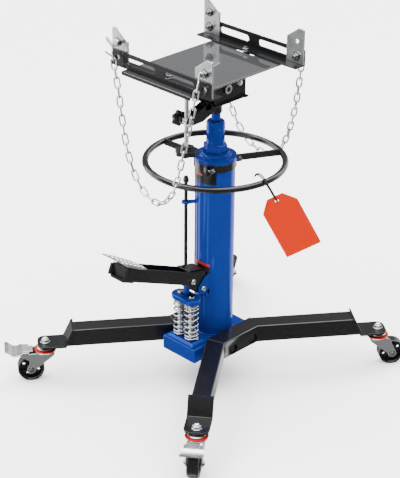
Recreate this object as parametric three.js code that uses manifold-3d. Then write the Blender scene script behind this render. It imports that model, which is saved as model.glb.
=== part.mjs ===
// Two-stage telescoping transmission jack on four casters, shown collapsed.
// Millimetres, +Z up, origin on the floor under the column axis, foot pedal towards -Y.
import * as THREE from 'three';
import { mergeVertices } from 'three/addons/utils/BufferGeometryUtils.js';
import Module from 'manifold-3d';

const wasm = await Module();
wasm.setup();

// ---- driving dimensions ----
const GAP = 0.3;
const TANK_R = 54;
const TANK_TOP = 661;
const BLOCK_TOP = 143;
const BLOCK_BOT = 102;
const BLOCK_X = 62;
const LEG_BOT = 108;
const LEG_TOP = 159;
const LEG_W = 52;
const LEG_WALL = 3.2;
const LEG_X = 83;
const BEND_Y = 75;
const STEM_X = 300;
const STEM_Y = 364;
const LEG_BOLT_Y = [-30, 50];
const LEG_BOLT_Z = 126;
const WHEEL_R = 37.5;
const WHEEL_W = 32;
const TRAIL = 42;
const RING_R = 187;
const RING_Z = 653;
const RAM1_R = 25;
const RAM1_TOP = 768;
const RAM2_R = 12.5;
const RAM2_TOP = 812;
const PUMP_Y = -107;
const SPRING_X = 21.7;
const SPRING_BOT = 153.5;
const SPRING_TOP = 268.5;
const FULCRUM = [-70, 301];
const PEDAL_UP = 23.5 * Math.PI / 180;
const DRIVE = [-104, 332];
const ROD = [-46, -64];
const PIVOT_Z = 868;
const PIVOT2_Z = 898;
const SCREW_Y = -108;
const KNOB_Z = 704;
const TRAY_X = -30;
const TRAY_TOP = 914;
const RAIL_Y = 173;
const RAIL_HALF = 181;

// ---- materials ----
const paint = (color, roughness, metalness) => new THREE.MeshStandardMaterial({ color, roughness, metalness });
const BLUE = paint(0x1540b8, 0.22, 0.1);
const BLACK = paint(0x1b1c1e, 0.4, 0.2);
const TRAYGREY = paint(0x2a2b2e, 0.12, 0.4);
const ZINC = paint(0xd9dbdc, 0.32, 0.9);
const STEEL = paint(0xb9bbbd, 0.18, 1.0);
const RUBBER = paint(0x121212, 0.6, 0.0);
const ORANGE = paint(0xe4572b, 0.6, 0.0);

// ---- solid helpers ----
function solid(geometry) {
  const g = geometry.clone();
  g.deleteAttribute('normal');
  g.deleteAttribute('uv');
  const m = mergeVertices(g, 1e-4);
  return new wasm.Manifold(new wasm.Mesh({
    numProp: 3,
    vertProperties: new Float32Array(m.attributes.position.array),
    triVerts: new Uint32Array(m.index.array),
  }));
}
function geometryOf(m) {
  const mesh = m.getMesh();
  const g = new THREE.BufferGeometry();
  g.setAttribute('position', new THREE.BufferAttribute(new Float32Array(mesh.vertProperties), 3));
  g.setIndex(new THREE.BufferAttribute(new Uint32Array(mesh.triVerts), 1));
  const flat = g.toNonIndexed();
  flat.computeVertexNormals();
  return flat;
}
const join = (...list) => list.reduce((a, b) => a.add(b));
const cut = (a, ...list) => list.reduce((m, b) => m.subtract(b), a);

function box(x0, x1, y0, y1, z0, z1) {
  const g = new THREE.BoxGeometry(x1 - x0, y1 - y0, z1 - z0);
  g.translate((x0 + x1) / 2, (y0 + y1) / 2, (z0 + z1) / 2);
  return solid(g);
}
// Cylinder of radius r between a and b on the line along axis through (p, q).
function rod(axis, r, a, b, p, q, seg = r > 20 ? 20 : (r > 9 ? 12 : 8)) {
  const g = new THREE.CylinderGeometry(r, r, b - a, seg);
  if (axis === 'z') g.rotateX(Math.PI / 2).translate(p, q, (a + b) / 2);
  if (axis === 'x') g.rotateZ(Math.PI / 2).translate((a + b) / 2, p, q);
  if (axis === 'y') g.translate(p, (a + b) / 2, q);
  return solid(g);
}
// Hole whose flats clear a pin of radius r, however the pin is turned.
function bore(axis, r, a, b, p, q, seg = 20) {
  return rod(axis, r / Math.cos(Math.PI / seg), a, b, p, q, seg);
}
// Turned solid about Z from [radius, height] points, closed on itself or on the axis.
function turned(points, seg = 32) {
  const g = new THREE.LatheGeometry(points.map(([r, z]) => new THREE.Vector2(r, z)), seg);
  g.rotateX(Math.PI / 2);
  return solid(g);
}
function ringSolid(r0, r1, z0, z1, seg = 40) {
  return rod('z', r1, z0, z1, 0, 0, seg).subtract(rod('z', r0, z0 - 1, z1 + 1, 0, 0, seg));
}
// Flat polygon in the plane normal to axis, pushed out from a to b.
function slab(axis, pts, a, b) {
  const shape = new THREE.Shape(pts.map(([u, v]) => new THREE.Vector2(u, v)));
  const g = new THREE.ExtrudeGeometry(shape, { depth: b - a, bevelEnabled: false });
  if (axis === 'z') g.translate(0, 0, a);
  if (axis === 'x') g.rotateX(Math.PI / 2).rotateZ(Math.PI / 2).translate(a, 0, 0);
  if (axis === 'y') g.rotateX(Math.PI / 2).translate(0, b, 0);
  return solid(g);
}
function roundEnd(cx, cy, r, a0, a1, n = 6) {
  const out = [];
  for (let i = 0; i <= n; i += 1) {
    const t = a0 + (a1 - a0) * i / n;
    out.push([cx + r * Math.cos(t), cy + r * Math.sin(t)]);
  }
  return out;
}
function slot(cx, cy, half, r, n = 6) {
  return [
    ...roundEnd(cx + half, cy, r, -Math.PI / 2, Math.PI / 2, n),
    ...roundEnd(cx - half, cy, r, Math.PI / 2, 3 * Math.PI / 2, n),
  ];
}
function sweep(points, r, steps, sides = 8) {
  const path = new THREE.CatmullRomCurve3(points.map((p) => new THREE.Vector3(...p)));
  const shape = new THREE.Shape(roundEnd(0, 0, r, 0, 2 * Math.PI, sides).slice(0, sides)
    .map(([u, v]) => new THREE.Vector2(u, v)));
  return new THREE.ExtrudeGeometry(shape, { steps, extrudePath: path, bevelEnabled: false });
}
function hex(axis, r, a, b, p, q) {
  return rod(axis, r, a, b, p, q, 6);
}

const jack = new THREE.Group();
function add(name, m, material, parent = jack) {
  const geometry = m.isBufferGeometry ? m : geometryOf(m);
  const mesh = new THREE.Mesh(geometry, material);
  mesh.name = name;
  parent.add(mesh);
  return mesh;
}

// ---- hydraulic unit ----
function baseBlock() {
  const front = box(-BLOCK_X, BLOCK_X, -136, -92, BLOCK_BOT, BLOCK_TOP);
  const rear = box(-LEG_X + LEG_W / 2 + GAP, LEG_X - LEG_W / 2 - GAP, -93, 88, BLOCK_BOT, BLOCK_TOP);
  const deck = slab('y', [[-50, BLOCK_TOP - 1], [50, BLOCK_TOP - 1], [50, 147], [44, 153], [-44, 153], [-50, 147]],
    -133, -78);
  let m = join(front, rear, deck);
  m = cut(m, rod('z', 49.5, BLOCK_TOP - 5, 160, 0, 0, 28));
  for (const x of [-SPRING_X, SPRING_X]) m = cut(m, rod('z', 9.4, 108, 160, x, PUMP_Y));
  m = cut(m, bore('z', 5.1, 125, 160, ROD[0], ROD[1]));
  for (const y of LEG_BOLT_Y) m = cut(m, rod('x', 8.4, -80, 80, y, LEG_BOLT_Z));
  for (const x of [-38, -30, 30]) m = cut(m, rod('y', 2.2, -140, -131, x, x < -32 ? 116 : 126, 10));
  return m;
}
add('base_block', baseBlock(), BLUE);
add('tank_tube', ringSolid(49.8, TANK_R, BLOCK_TOP + GAP, TANK_TOP, 28), BLUE);
add('inner_cylinder', ringSolid(27, 33, BLOCK_TOP - 4.7, 655, 32), STEEL);

// One turned nut closes the tank: a flange, two steps and a hexagon for the spanner.
function topCap() {
  const body = join(
    rod('z', 58.5, TANK_TOP + GAP, 672, 0, 0, 28),
    rod('z', 43, 671, 678, 0, 0, 28),
    rod('z', 38, 677, 682, 0, 0, 28),
    hex('z', 33, 681, 703, 0, 0),
  );
  return cut(body, rod('z', 27.5, 650, 682, 0, 0), rod('z', RAM1_R + GAP, 680, 710, 0, 0));
}
add('top_cap', topCap(), BLUE);

function ramOne() {
  const tube = join(
    rod('z', RAM1_R, 175, RAM1_TOP - 3, 0, 0),
    rod('z', RAM1_R - 2.5, RAM1_TOP - 4, RAM1_TOP, 0, 0),
    rod('z', 26.7, 155, 176, 0, 0),
  );
  return cut(tube, rod('z', 16, 170, RAM1_TOP - 22, 0, 0), rod('z', RAM2_R + GAP, 700, 780, 0, 0));
}
add('ram_stage_1', ramOne(), BLUE);
add('ram_stage_2', join(rod('z', RAM2_R, 195, RAM2_TOP, 0, 0), rod('z', 15.7, 178, 196, 0, 0)), BLUE);

// ---- leg frames: a middle tube bolted to each side of the block, with a leg welded on at each mitred end ----
function offsetPath(path, d) {
  return path.map((p, i) => {
    const a = path[Math.max(i - 1, 0)];
    const b = path[Math.min(i + 1, path.length - 1)];
    const n1 = new THREE.Vector2(p.y - a.y, a.x - p.x);
    const n2 = new THREE.Vector2(b.y - p.y, p.x - b.x);
    if (n1.length() === 0) n1.copy(n2);
    if (n2.length() === 0) n2.copy(n1);
    n1.normalize();
    n2.normalize();
    const n = n1.clone().add(n2).normalize();
    return p.clone().add(n.multiplyScalar(d / n.dot(n1)));
  });
}
function band(path, half) {
  return [...offsetPath(path, half), ...offsetPath(path, -half).reverse()].map((v) => [v.x, v.y]);
}
function legPath(reach) {
  const bend = new THREE.Vector2(LEG_X, BEND_Y);
  const stem = new THREE.Vector2(STEM_X, STEM_Y);
  const dir = stem.clone().sub(bend).normalize();
  const end = stem.clone().sub(dir.clone().multiplyScalar(reach));
  return [new THREE.Vector2(end.x, -end.y), new THREE.Vector2(LEG_X, -BEND_Y), bend, end];
}
const LEG_ANGLE = Math.atan2(STEM_Y - BEND_Y, STEM_X - LEG_X);
// Cutter beyond the slanted leg end, in leg coordinates with the stem at u = 0.
function endCutter(y0, y1) {
  return slab('y', [[-80.5, 170], [-51.9, 100], [60, 100], [60, 170]], y0, y1);
}
// Bent end plate welded over the leg's open end, with the caster boss under its round nose.
function endPlate() {
  const side = slab('y', [[-80, 163], [-74.6, 163], [-52, 114], [0, 114], [0, LEG_BOT], [-57.5, LEG_BOT]], -34, 34);
  const round = [...roundEnd(1, -14, 20, -Math.PI / 2, 0, 5), ...roundEnd(1, 14, 20, 0, Math.PI / 2, 5)];
  const nose = slab('z', [[-2, -34], ...round, [-2, 34]], LEG_BOT, 114);
  const boss = rod('z', 19, 102, LEG_BOT + 1, 0, 0);
  return cut(join(side, nose, boss), rod('z', 6.4, 90, 130, 0, 0));
}
function atStem(m, sx, sy) {
  const a = sy > 0 ? LEG_ANGLE : -LEG_ANGLE;
  const turn = sx > 0 ? a : Math.PI - a;
  return m.rotate([0, 0, turn * 180 / Math.PI]).translate([sx * STEM_X, sy * STEM_Y, 0]);
}
function legRun() {
  const outer = slab('z', band(legPath(20), LEG_W / 2), LEG_BOT, LEG_TOP);
  const hollow = slab('z', band(legPath(10), LEG_W / 2 - LEG_WALL), LEG_BOT + LEG_WALL, LEG_TOP - LEG_WALL);
  return cut(outer, hollow);
}
// The space beyond the mitre plane at the bend on side sy, on the leg's side or on the middle tube's.
function beyondMitre(sy, legSide) {
  const [y0, y1] = legSide ? [-GAP / 2, 600] : [-900, GAP / 2];
  const lean = (LEG_ANGLE * 180 / Math.PI - 90) / 2;
  const m = box(-400, 400, y0, y1, 90, 180).rotate([0, 0, lean]).translate([LEG_X, BEND_Y, 0]);
  return sy > 0 ? m : m.mirror([0, 1, 0]);
}
function legTube(sx) {
  let m = cut(legRun(), beyondMitre(-1, true), beyondMitre(1, true));
  for (const y of LEG_BOLT_Y) {
    m = join(m, rod('x', 16.5, LEG_X - 24, LEG_X + 24, y, LEG_BOLT_Z));
    m = cut(m, rod('x', 15, LEG_X + 11, LEG_X + 40, y, LEG_BOLT_Z), rod('x', 8.4, LEG_X - 40, LEG_X + 12, y, LEG_BOLT_Z));
  }
  return sx > 0 ? m : m.mirror([1, 0, 0]);
}
function leg(sx, sy) {
  const tube = cut(legRun(), beyondMitre(sy, false), atStem(endCutter(-40, 40), 1, sy));
  const m = join(tube, atStem(endPlate(), 1, sy));
  return sx > 0 ? m : m.mirror([1, 0, 0]);
}
// Bolt right through both middle tubes and the block, with its hexagons sunk in the outer faces.
function legBolt(y) {
  const seat = LEG_X + 11 + GAP;
  const z = LEG_BOLT_Z;
  const head = join(rod('x', 13.5, seat, seat + 2.5, y, z, 18), hex('x', 12, seat + 2, seat + 12, y, z));
  return join(rod('x', 8, -seat - 1, seat + 1, y, z), head, head.mirror([1, 0, 0]));
}
const SIDES = [[-1, -1], [1, -1], [1, 1], [-1, 1]];
add('leg_tube_1', legTube(1), BLACK);
add('leg_tube_2', legTube(-1), BLACK);
SIDES.forEach(([sx, sy], i) => add(`leg_${i + 1}`, leg(sx, sy), BLACK));
LEG_BOLT_Y.forEach((y, i) => add(`leg_bolt_${i + 1}`, legBolt(y), BLACK));

// ---- casters, trailing outward along the leg ----
function casterStem() {
  const m = join(
    rod('z', 6, 84, 126, 0, 0),
    hex('z', 11, 116.3, 124, 0, 0),
    rod('z', 13.5, 114.3, 116.8, 0, 0),
    rod('z', 7.5, 123, 128, 0, 0),
    rod('z', 24, 95.3, 101.7, 0, 0),
    rod('z', 9, 82, 84.5, 0, 0),
  );
  return m;
}
function casterFork(brake) {
  const ear = brake ? [[60, 88.6], [68, 87], [69, 80], [63, 76.5], [48, 68], [44, 61]] : [[33, 84]];
  const profile = [[-27, 89], [27, 89], ...ear, [TRAIL + 12, 40],
    ...roundEnd(TRAIL, WHEEL_R, 12, 0, -Math.PI, 8), [-22, 80]];
  let m = rod('z', 29, 86, 92, 0, 0);
  for (const y of [-22, 19.5]) m = join(m, slab('y', profile, y, y + 2.5));
  m = join(m, box(-24, 26, -22, 22, 86.2, 89));
  m = cut(m, rod('z', 13, 84, 88.6, 0, 0), bore('z', 6.1, 80, 100, 0, 0));
  if (brake) m = cut(m, rod('y', 3.6, -26, 26, 64, 84));
  m = join(m, rod('y', 5, -25.5, 25.5, TRAIL, WHEEL_R));
  return join(m, hex('y', 8, -25.5, -21.5, TRAIL, WHEEL_R), hex('y', 8, 21.5, 25.5, TRAIL, WHEEL_R));
}
function casterWheel() {
  const tread = WHEEL_W / 2;
  const half = [[5.3, 17.5], [13, 17.5], [15, 11], [32, 13], [WHEEL_R - 2, tread], [WHEEL_R, tread - 3]];
  const p = [...half.map(([r, z]) => [r, -z]), ...half.reverse(), [5.3, -17.5]];
  return turned(p, 18).rotate([90, 0, 0]).translate([TRAIL, 0, WHEEL_R]);
}
// Brake pedal: a flat deck over the wheel with a curled toe.
function brakeLever() {
  const heel = box(36, 68, -15.5, 15.5, 92.5, 95.5);
  const toe = slab('y', [[65.5, 95.5], [66, 95.5], [78, 90.5], [89, 90.5], [101, 101], [112, 105], [113.5, 102.5],
    [102.5, 98], [90, 87.3], [77.5, 87.3], [65.5, 92.5]], -30, 30);
  const wing = [[47, 95.5], [66, 95.5], [74, 92], [74, 88], [64, 78.5], [53, 81], [47, 90]];
  const wings = join(slab('y', wing, -25.5, -22.5), slab('y', wing, 22.5, 25.5));
  const deck = box(47, 66, -25.5, 25.5, 92.5, 95.5);
  return join(heel, toe, deck, wings, rod('y', 3, -25.5, 25.5, 64, 84));
}
SIDES.forEach(([sx, sy], i) => {
  const n = i + 1;
  add(`caster_stem_${n}`, atStem(casterStem(), sx, sy), ZINC);
  add(`caster_fork_${n}`, atStem(casterFork(n <= 2), sx, sy), ZINC);
  add(`wheel_${n}`, atStem(casterWheel(), sx, sy), RUBBER);
  if (n <= 2) add(`brake_lever_${n}`, atStem(brakeLever(), sx, sy), ZINC);
});

// ---- clamp band and ring handle ----
const SPOKES = [182, 62].map((d) => d * Math.PI / 180);
function clampBand() {
  let m = ringSolid(TANK_R + GAP, 57.6, 640, 660.5, 28);
  for (const t of SPOKES) {
    m = join(m, box(56, 74, -3.5, 0, 642, 660).rotate([0, 0, t * 180 / Math.PI]));
  }
  const ears = join(box(56, 74, -8, -3, 636, 660.5), box(56, 74, 3, 8, 636, 660.5)).rotate([0, 0, -59]);
  const bolt = rod('y', 4, -13, 13, 66, 650, 16).rotate([0, 0, -59]);
  return join(m, ears, bolt);
}
add('clamp_band', clampBand(), BLACK);
function ringHandle() {
  const torus = new THREE.TorusGeometry(RING_R, 8.4, 8, 36);
  let m = solid(torus).translate([0, 0, RING_Z]);
  for (const t of SPOKES) {
    m = join(m, box(60, 183, GAP, 6.3, 643, 661).rotate([0, 0, t * 180 / Math.PI]));
  }
  return m;
}
add('ring_handle', ringHandle(), BLACK);

// ---- foot pump ----
function pedalLugs() {
  const pts = [[-40, 338], [-62, 332], ...roundEnd(FULCRUM[0], FULCRUM[1], 17, 2.4, 4.9, 8), [-40, 272]];
  const sideA = slab('x', pts.map(([y, z]) => [y, z]), 24.5, 29.5);
  const sideB = slab('x', pts.map(([y, z]) => [y, z]), -29.5, -24.5);
  const back = box(-29.5, 29.5, -56, -40, 272, 292);
  const m = join(sideA, sideB, back);
  return cut(m, rod('z', TANK_R + GAP, 200, 400, 0, 0, 28), rod('x', 6.4, -40, 40, FULCRUM[0], FULCRUM[1]));
}
add('pedal_lugs', pedalLugs(), BLUE);
function headedPin(r, half, y, z) {
  return join(rod('x', r, -half, half, y, z), rod('x', r + 2.5, half - 1, half + 3, y, z),
    rod('x', r + 2.5, -half - 3, -half + 1, y, z));
}
add('fulcrum_pin', headedPin(6, 31, FULCRUM[0], FULCRUM[1]), STEEL);

const pedal = new THREE.Group();
pedal.position.set(0, FULCRUM[0], FULCRUM[1]);
pedal.rotation.x = -PEDAL_UP;
jack.add(pedal);
const DRIVE_U = -(DRIVE[0] - FULCRUM[0]) * Math.cos(PEDAL_UP) + (DRIVE[1] - FULCRUM[1]) * Math.sin(PEDAL_UP);
const DRIVE_V = (DRIVE[0] - FULCRUM[0]) * Math.sin(PEDAL_UP) + (DRIVE[1] - FULCRUM[1]) * Math.cos(PEDAL_UP);
// Tread plate on a prop that closes the channel's top.
function footPlate() {
  const m = slab('x', [[-352, 57], [-340, 56.5], [-245, 44.6], [-245, 41.5], [-340, 53], [-352, 53.5]], -50, 50);
  const prop = slab('x', [[-318, 52], [-250, 43.5], [-250, 40], [-318, 40]], -23, 23);
  return join(m, prop);
}
function pedalLever() {
  const cheek = [[-72, 43], [-12, 54], [-1, 42], [9, 20], ...roundEnd(0, 0, 13, 0.3, -1.2, 5), [-18, -15],
    [-51, -6], [-65, 8], [-72, 8]];
  const cheeks = join(slab('x', cheek, 19.5, 24), slab('x', cheek, -24, -19.5));
  const crown = slab('x', [[-72, 43], [-12, 54], [-12, 50], [-72, 39]], -24, 24);
  const channel = cut(box(-25, 25, -318, -64, 3, 41), box(-21.5, 21.5, -330, -50, 6.5, 60));
  const web = slab('x', [[-318, 41], [-314, 41], [-300, 3], [-304, 3]], -25, 25);
  let m = join(cheeks, crown, channel, web);
  m = join(m, footPlate());
  return cut(m, rod('x', 6.8, -40, 40, 0, 0), rod('x', 6.3, -40, 40, -DRIVE_U, DRIVE_V));
}
add('pedal_lever', pedalLever(), BLACK, pedal);
add('drive_pin', headedPin(6, 25.5, -DRIVE_U, DRIVE_V), STEEL, pedal);

function driveLink() {
  const eye = rod('x', 13, -11, 11, DRIVE[0], DRIVE[1]);
  const stalk = join(rod('z', 9, 292, 326, 0, -105), rod('z', 6.5, 286, 293, 0, -105));
  return cut(join(eye, stalk), rod('x', 6.9, -30, 30, DRIVE[0], DRIVE[1]));
}
add('drive_link', driveLink(), BLUE);
function crosshead() {
  const plate = slab('z', slot(0, PUMP_Y, SPRING_X, 25, 10), 269, 283);
  const holes = [-SPRING_X, SPRING_X].map((x) => rod('z', 7.3, 260, 290, x, PUMP_Y));
  return cut(plate, ...holes);
}
add('crosshead', crosshead(), BLUE);
function plunger(x) {
  return join(rod('z', 9, 132, 268.7, x, PUMP_Y), rod('z', 7, 268, 288, x, PUMP_Y),
    rod('z', 9.5, 283.3, 285.5, x, PUMP_Y));
}
add('plunger_1', plunger(-SPRING_X), STEEL);
add('plunger_2', plunger(SPRING_X), STEEL);
function coil(x) {
  const turns = 8;
  const pts = [];
  const n = turns * 7;
  for (let i = 0; i <= n; i += 1) {
    const t = i / n;
    const a = 2 * Math.PI * turns * t;
    pts.push([x + 18 * Math.cos(a), PUMP_Y + 18 * Math.sin(a), SPRING_BOT + 2.6 + (SPRING_TOP - SPRING_BOT - 5.2) * t]);
  }
  return sweep(pts, 2.2, n, 4);
}
add('return_spring_1', coil(-SPRING_X), ZINC);
add('return_spring_2', coil(SPRING_X), ZINC);

// ---- release valve rod ----
add('release_rod', join(rod('z', 5, 127, 600, ROD[0], ROD[1]), rod('z', 8, 596, 606, ROD[0], ROD[1]),
  rod('z', 6, 605, 612, ROD[0], ROD[1])), BLACK);
function rodGuide() {
  const eye = rod('z', 12, 532, 538, ROD[0], ROD[1]);
  const arm = box(TANK_R - 8, 80, -7, 7, 532, 538).rotate([0, 0, Math.atan2(ROD[1], ROD[0]) * 180 / Math.PI]);
  return cut(join(eye, arm), rod('z', TANK_R + GAP, 500, 560, 0, 0, 28), bore('z', 5.1, 500, 560, ROD[0], ROD[1]));
}
add('rod_guide', rodGuide(), BLUE);

// ---- saddle: base, tilting head, tray ----
function saddleBase() {
  const socket = rod('z', 16.5, 792, 830, 0, 0);
  const plate = box(-44, 44, -42, 72, 828, 833);
  const walls = join(box(34, 38, -42, 72, 832, 889), box(-38, -34, -42, 72, 832, 889));
  const feet = join(box(37, 47, 60, 74, 828, 833), box(-47, -37, 60, 74, 828, 833));
  const armPts = [[-8, 830], [-42, 830], [-100, 812], ...roundEnd(SCREW_Y, 797, 12, 1.0, 4.6, 8), [-60, 786], [-10, 806]];
  const arm = join(slab('x', armPts, 10, 14), slab('x', armPts, -14, -10), box(-14, 14, -52, -30, 812, 829));
  let m = join(socket, plate, walls, feet, arm);
  m = cut(m, bore('z', RAM2_R + 0.1, 780, 812.3, 0, 0, 32));
  m = cut(m, rod('x', 10.3, -50, 50, 0, PIVOT_Z), rod('x', 5.4, -40, 40, SCREW_Y, 797));
  return m;
}
add('saddle_base', saddleBase(), BLACK);
const pivotTube = cut(join(rod('x', 10, -46, 46, 0, PIVOT_Z), rod('x', 12.5, 43, 46, 0, PIVOT_Z),
  rod('x', 12.5, -46, -43, 0, PIVOT_Z)), rod('x', 6.5, -60, 60, 0, PIVOT_Z));
add('pivot_pin_1', pivotTube, STEEL);
function saddleHead() {
  const deck = box(-31, 31, -60, 60, 879, 883);
  const lug = [[-18, 883], [18, 883], [18, PIVOT_Z - 8], ...roundEnd(0, PIVOT_Z, 15, -0.5, -2.64, 6), [-18, PIVOT_Z - 8]];
  const lugs = join(slab('x', lug, 27, 31), slab('x', lug, -31, -27));
  const end = [[-22, 881], [22, 881], [22, PIVOT2_Z], ...roundEnd(0, PIVOT2_Z, 10.2, 0.4, 2.74, 6), [-22, PIVOT2_Z]];
  const ends = join(slab('y', end, 56, 60), slab('y', end, -60, -56));
  const tongue = slab('z', [[-18, -58], [18, -58], ...roundEnd(0, SCREW_Y, 18, 0, -Math.PI, 10)], 879, 883);
  let m = join(deck, lugs, ends, tongue);
  m = cut(m, bore('x', 10.1, -50, 50, 0, PIVOT_Z), rod('y', 7.3, -80, 80, 0, PIVOT2_Z));
  return cut(m, rod('z', 9, 870, 900, 0, SCREW_Y));
}
add('saddle_head', saddleHead(), BLACK);
add('pivot_pin_2', join(rod('y', 7, -69, 69, 0, PIVOT2_Z), rod('y', 9.5, 68, 71, 0, PIVOT2_Z),
  rod('y', 9.5, -71, -68, 0, PIVOT2_Z)), STEEL);
function trunnion() {
  const m = join(rod('x', 9, -9.7, 9.7, SCREW_Y, 797), rod('x', 5, -28, 17, SCREW_Y, 797),
    hex('x', 8, 14.3, 19, SCREW_Y, 797));
  return cut(m, rod('z', 6.3, 780, 815, 0, SCREW_Y));
}
add('screw_trunnion', trunnion(), STEEL);
add('adjust_screw', join(rod('z', 6, KNOB_Z + 12.5, 892, 0, SCREW_Y), rod('z', 11, 873, 877, 0, SCREW_Y),
  rod('z', 11, 885, 889, 0, SCREW_Y)), STEEL);
function starKnob(r, lobes, h) {
  let m = rod('z', r - 5, 0, h, 0, 0);
  for (let i = 0; i < lobes; i += 1) {
    const t = i * 2 * Math.PI / lobes;
    m = join(m, rod('z', r * 0.26, 0, h, (r - r * 0.26) * Math.cos(t), (r - r * 0.26) * Math.sin(t), 8));
  }
  return join(m, rod('z', r * 0.45, h - 1, h + 9, 0, 0));
}
add('adjust_knob', cut(starKnob(31, 7, 16), bore('z', 6.1, 12, 60, 0, 0)).translate([0, SCREW_Y, KNOB_Z]), BLACK);
add('lock_knob', cut(starKnob(22, 6, 12), bore('z', 5.1, 4, 40, 0, 0)).rotate([0, 90, 0])
  .translate([-36.5, SCREW_Y, 797]), BLACK);

const tray = new THREE.Group();
tray.position.set(TRAY_X, 0, 0);
jack.add(tray);
// The load's bed stands a hair above the strips that the rails lie on.
const SEAT_Y = 136.5;
function trayPlate() {
  const plate = box(-125, 125, -192, 192, TRAY_TOP - 5, TRAY_TOP);
  const lips = join(box(-125, 125, -192, -188, TRAY_TOP - 10, TRAY_TOP - 4),
    box(-125, 125, 188, 192, TRAY_TOP - 10, TRAY_TOP - 4));
  const lug = [[8, TRAY_TOP - 4], [52, TRAY_TOP - 4], [52, PIVOT2_Z], ...roundEnd(30, PIVOT2_Z, 14, -0.3, -2.84, 6),
    [8, PIVOT2_Z]];
  const lugs = join(slab('y', lug, 62, 66), slab('y', lug, -66, -62));
  let m = join(plate, lips, lugs);
  m = cut(m, bore('y', 7.1, -80, 80, -TRAY_X, PIVOT2_Z));
  for (const s of [-1, 1]) {
    m = cut(m, box(-126, 126, Math.min(s * SEAT_Y, s * 200), Math.max(s * SEAT_Y, s * 200), TRAY_TOP - GAP, TRAY_TOP + 2));
  }
  for (const y of [-141, 141]) m = cut(m, slab('z', slot(0, y, 30, 6.5), 900, 930));
  return m;
}
add('tray_plate', trayPlate(), TRAYGREY, tray);
function rail(s) {
  const z0 = TRAY_TOP + GAP;
  const flat = slab('z', [[-RAIL_HALF, s * (RAIL_Y + 2)], [RAIL_HALF, s * (RAIL_Y + 2)], [RAIL_HALF, s * (RAIL_Y - 36)],
    [-RAIL_HALF, s * (RAIL_Y - 36)]], z0, z0 + 4);
  const wall = box(-RAIL_HALF, RAIL_HALF, Math.min(s * (RAIL_Y - 2), s * (RAIL_Y + 2)),
    Math.max(s * (RAIL_Y - 2), s * (RAIL_Y + 2)), z0, z0 + 44);
  let m = join(flat, wall);
  for (const x of [-70, 70]) {
    m = cut(m, slab('y', slot(x, z0 + 24, 43.5, 9), s * RAIL_Y - 9, s * RAIL_Y + 9));
  }
  for (const x of [-158, 158]) m = cut(m, rod('y', 8, s * RAIL_Y - 9, s * RAIL_Y + 9, x, z0 + 24));
  return cut(m, rod('z', 6.6, z0 - 5, z0 + 8, 0, s * 141));
}
add('rail_1', rail(-1), BLACK, tray);
add('rail_2', rail(1), BLACK, tray);
// Corner bracket at end ex of the rail on side s, with bolts through the holes at the given heights.
function cornerBracket(ex, s, heights) {
  const z0 = TRAY_TOP + 4.6;
  const o = ex * RAIL_HALF;
  const i = ex * (RAIL_HALF - 59);
  const span = (near, far) => (s > 0 ? [RAIL_Y + near, RAIL_Y + far] : [-RAIL_Y - far, -RAIL_Y - near]);
  const [y0, y1] = span(-7.3, -2.3);
  let m = slab('y', [[o, z0], [o, z0 + 92], [o - ex * 4, z0 + 96], [o - ex * 20, z0 + 96], [i, z0 + 68], [i, z0]], y0, y1);
  if (!heights.includes(61)) m = cut(m, rod('y', 5.5, y0 - 5, y1 + 5, ex * 158, z0 + 61));
  for (const h of heights) {
    m = join(m, rod('y', 5.4, ...span(-15, 12), ex * 158, z0 + h));
    m = join(m, hex('y', 10, ...span(-14, -7), ex * 158, z0 + h));
    m = join(m, rod('y', 11, ...span(h > 45 ? -2.5 : 2.3, 8), ex * 158, z0 + h));
  }
  return m;
}
[[-1, -1, [61]], [1, -1, [61]], [1, 1, [20]], [-1, 1, [20, 61]]].forEach(([ex, s, heights], i) => {
  add(`corner_bracket_${i + 1}`, cornerBracket(ex, s, heights), ZINC, tray);
});

// ---- safety chains: each hangs in a loop outside its rail ----
const CHAIN_1 = [[-188, -192, 962], [-178, -193, 910], [-160, -197, 860], [-140, -205, 780], [-113, -210, 700],
  [-80, -211, 640], [-40, -211, 606], [5, -211, 603], [45, -211, 640], [70, -210, 700], [90, -204, 790],
  [108, -196, 880], [126, -192, 962]];
const CHAIN_2 = [[126, 194, 934], [113, 198, 870], [90, 206, 780], [55, 211, 690], [20, 211, 630], [-30, 211, 600],
  [-80, 211, 612], [-125, 210, 655], [-155, 207, 720], [-175, 203, 800], [-188, 196, 880], [-188, 192, 962]];
add('chain_1', sweep(CHAIN_1, 4, 30, 5), ZINC);
add('chain_2', sweep(CHAIN_2, 4, 30, 5), ZINC);

// ---- blank hang tag tied to the ring ----
function hangTag() {
  const pts = [[-50, -98], [50, -98], [50, 45], [22, 78], [-22, 78], [-50, 45]];
  const m = cut(slab('z', pts, 0, 2), rod('z', 5, -5, 5, 0, 64));
  return m.rotate([0, 0, 28]).rotate([90, 0, 0]).rotate([0, 0, 45]).translate([232, 36, 545]);
}
add('hang_tag', hangTag(), ORANGE);

export default jack;
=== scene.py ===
import math
import random

import bmesh
import bpy
from mathutils import Matrix, Vector, noise


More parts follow.
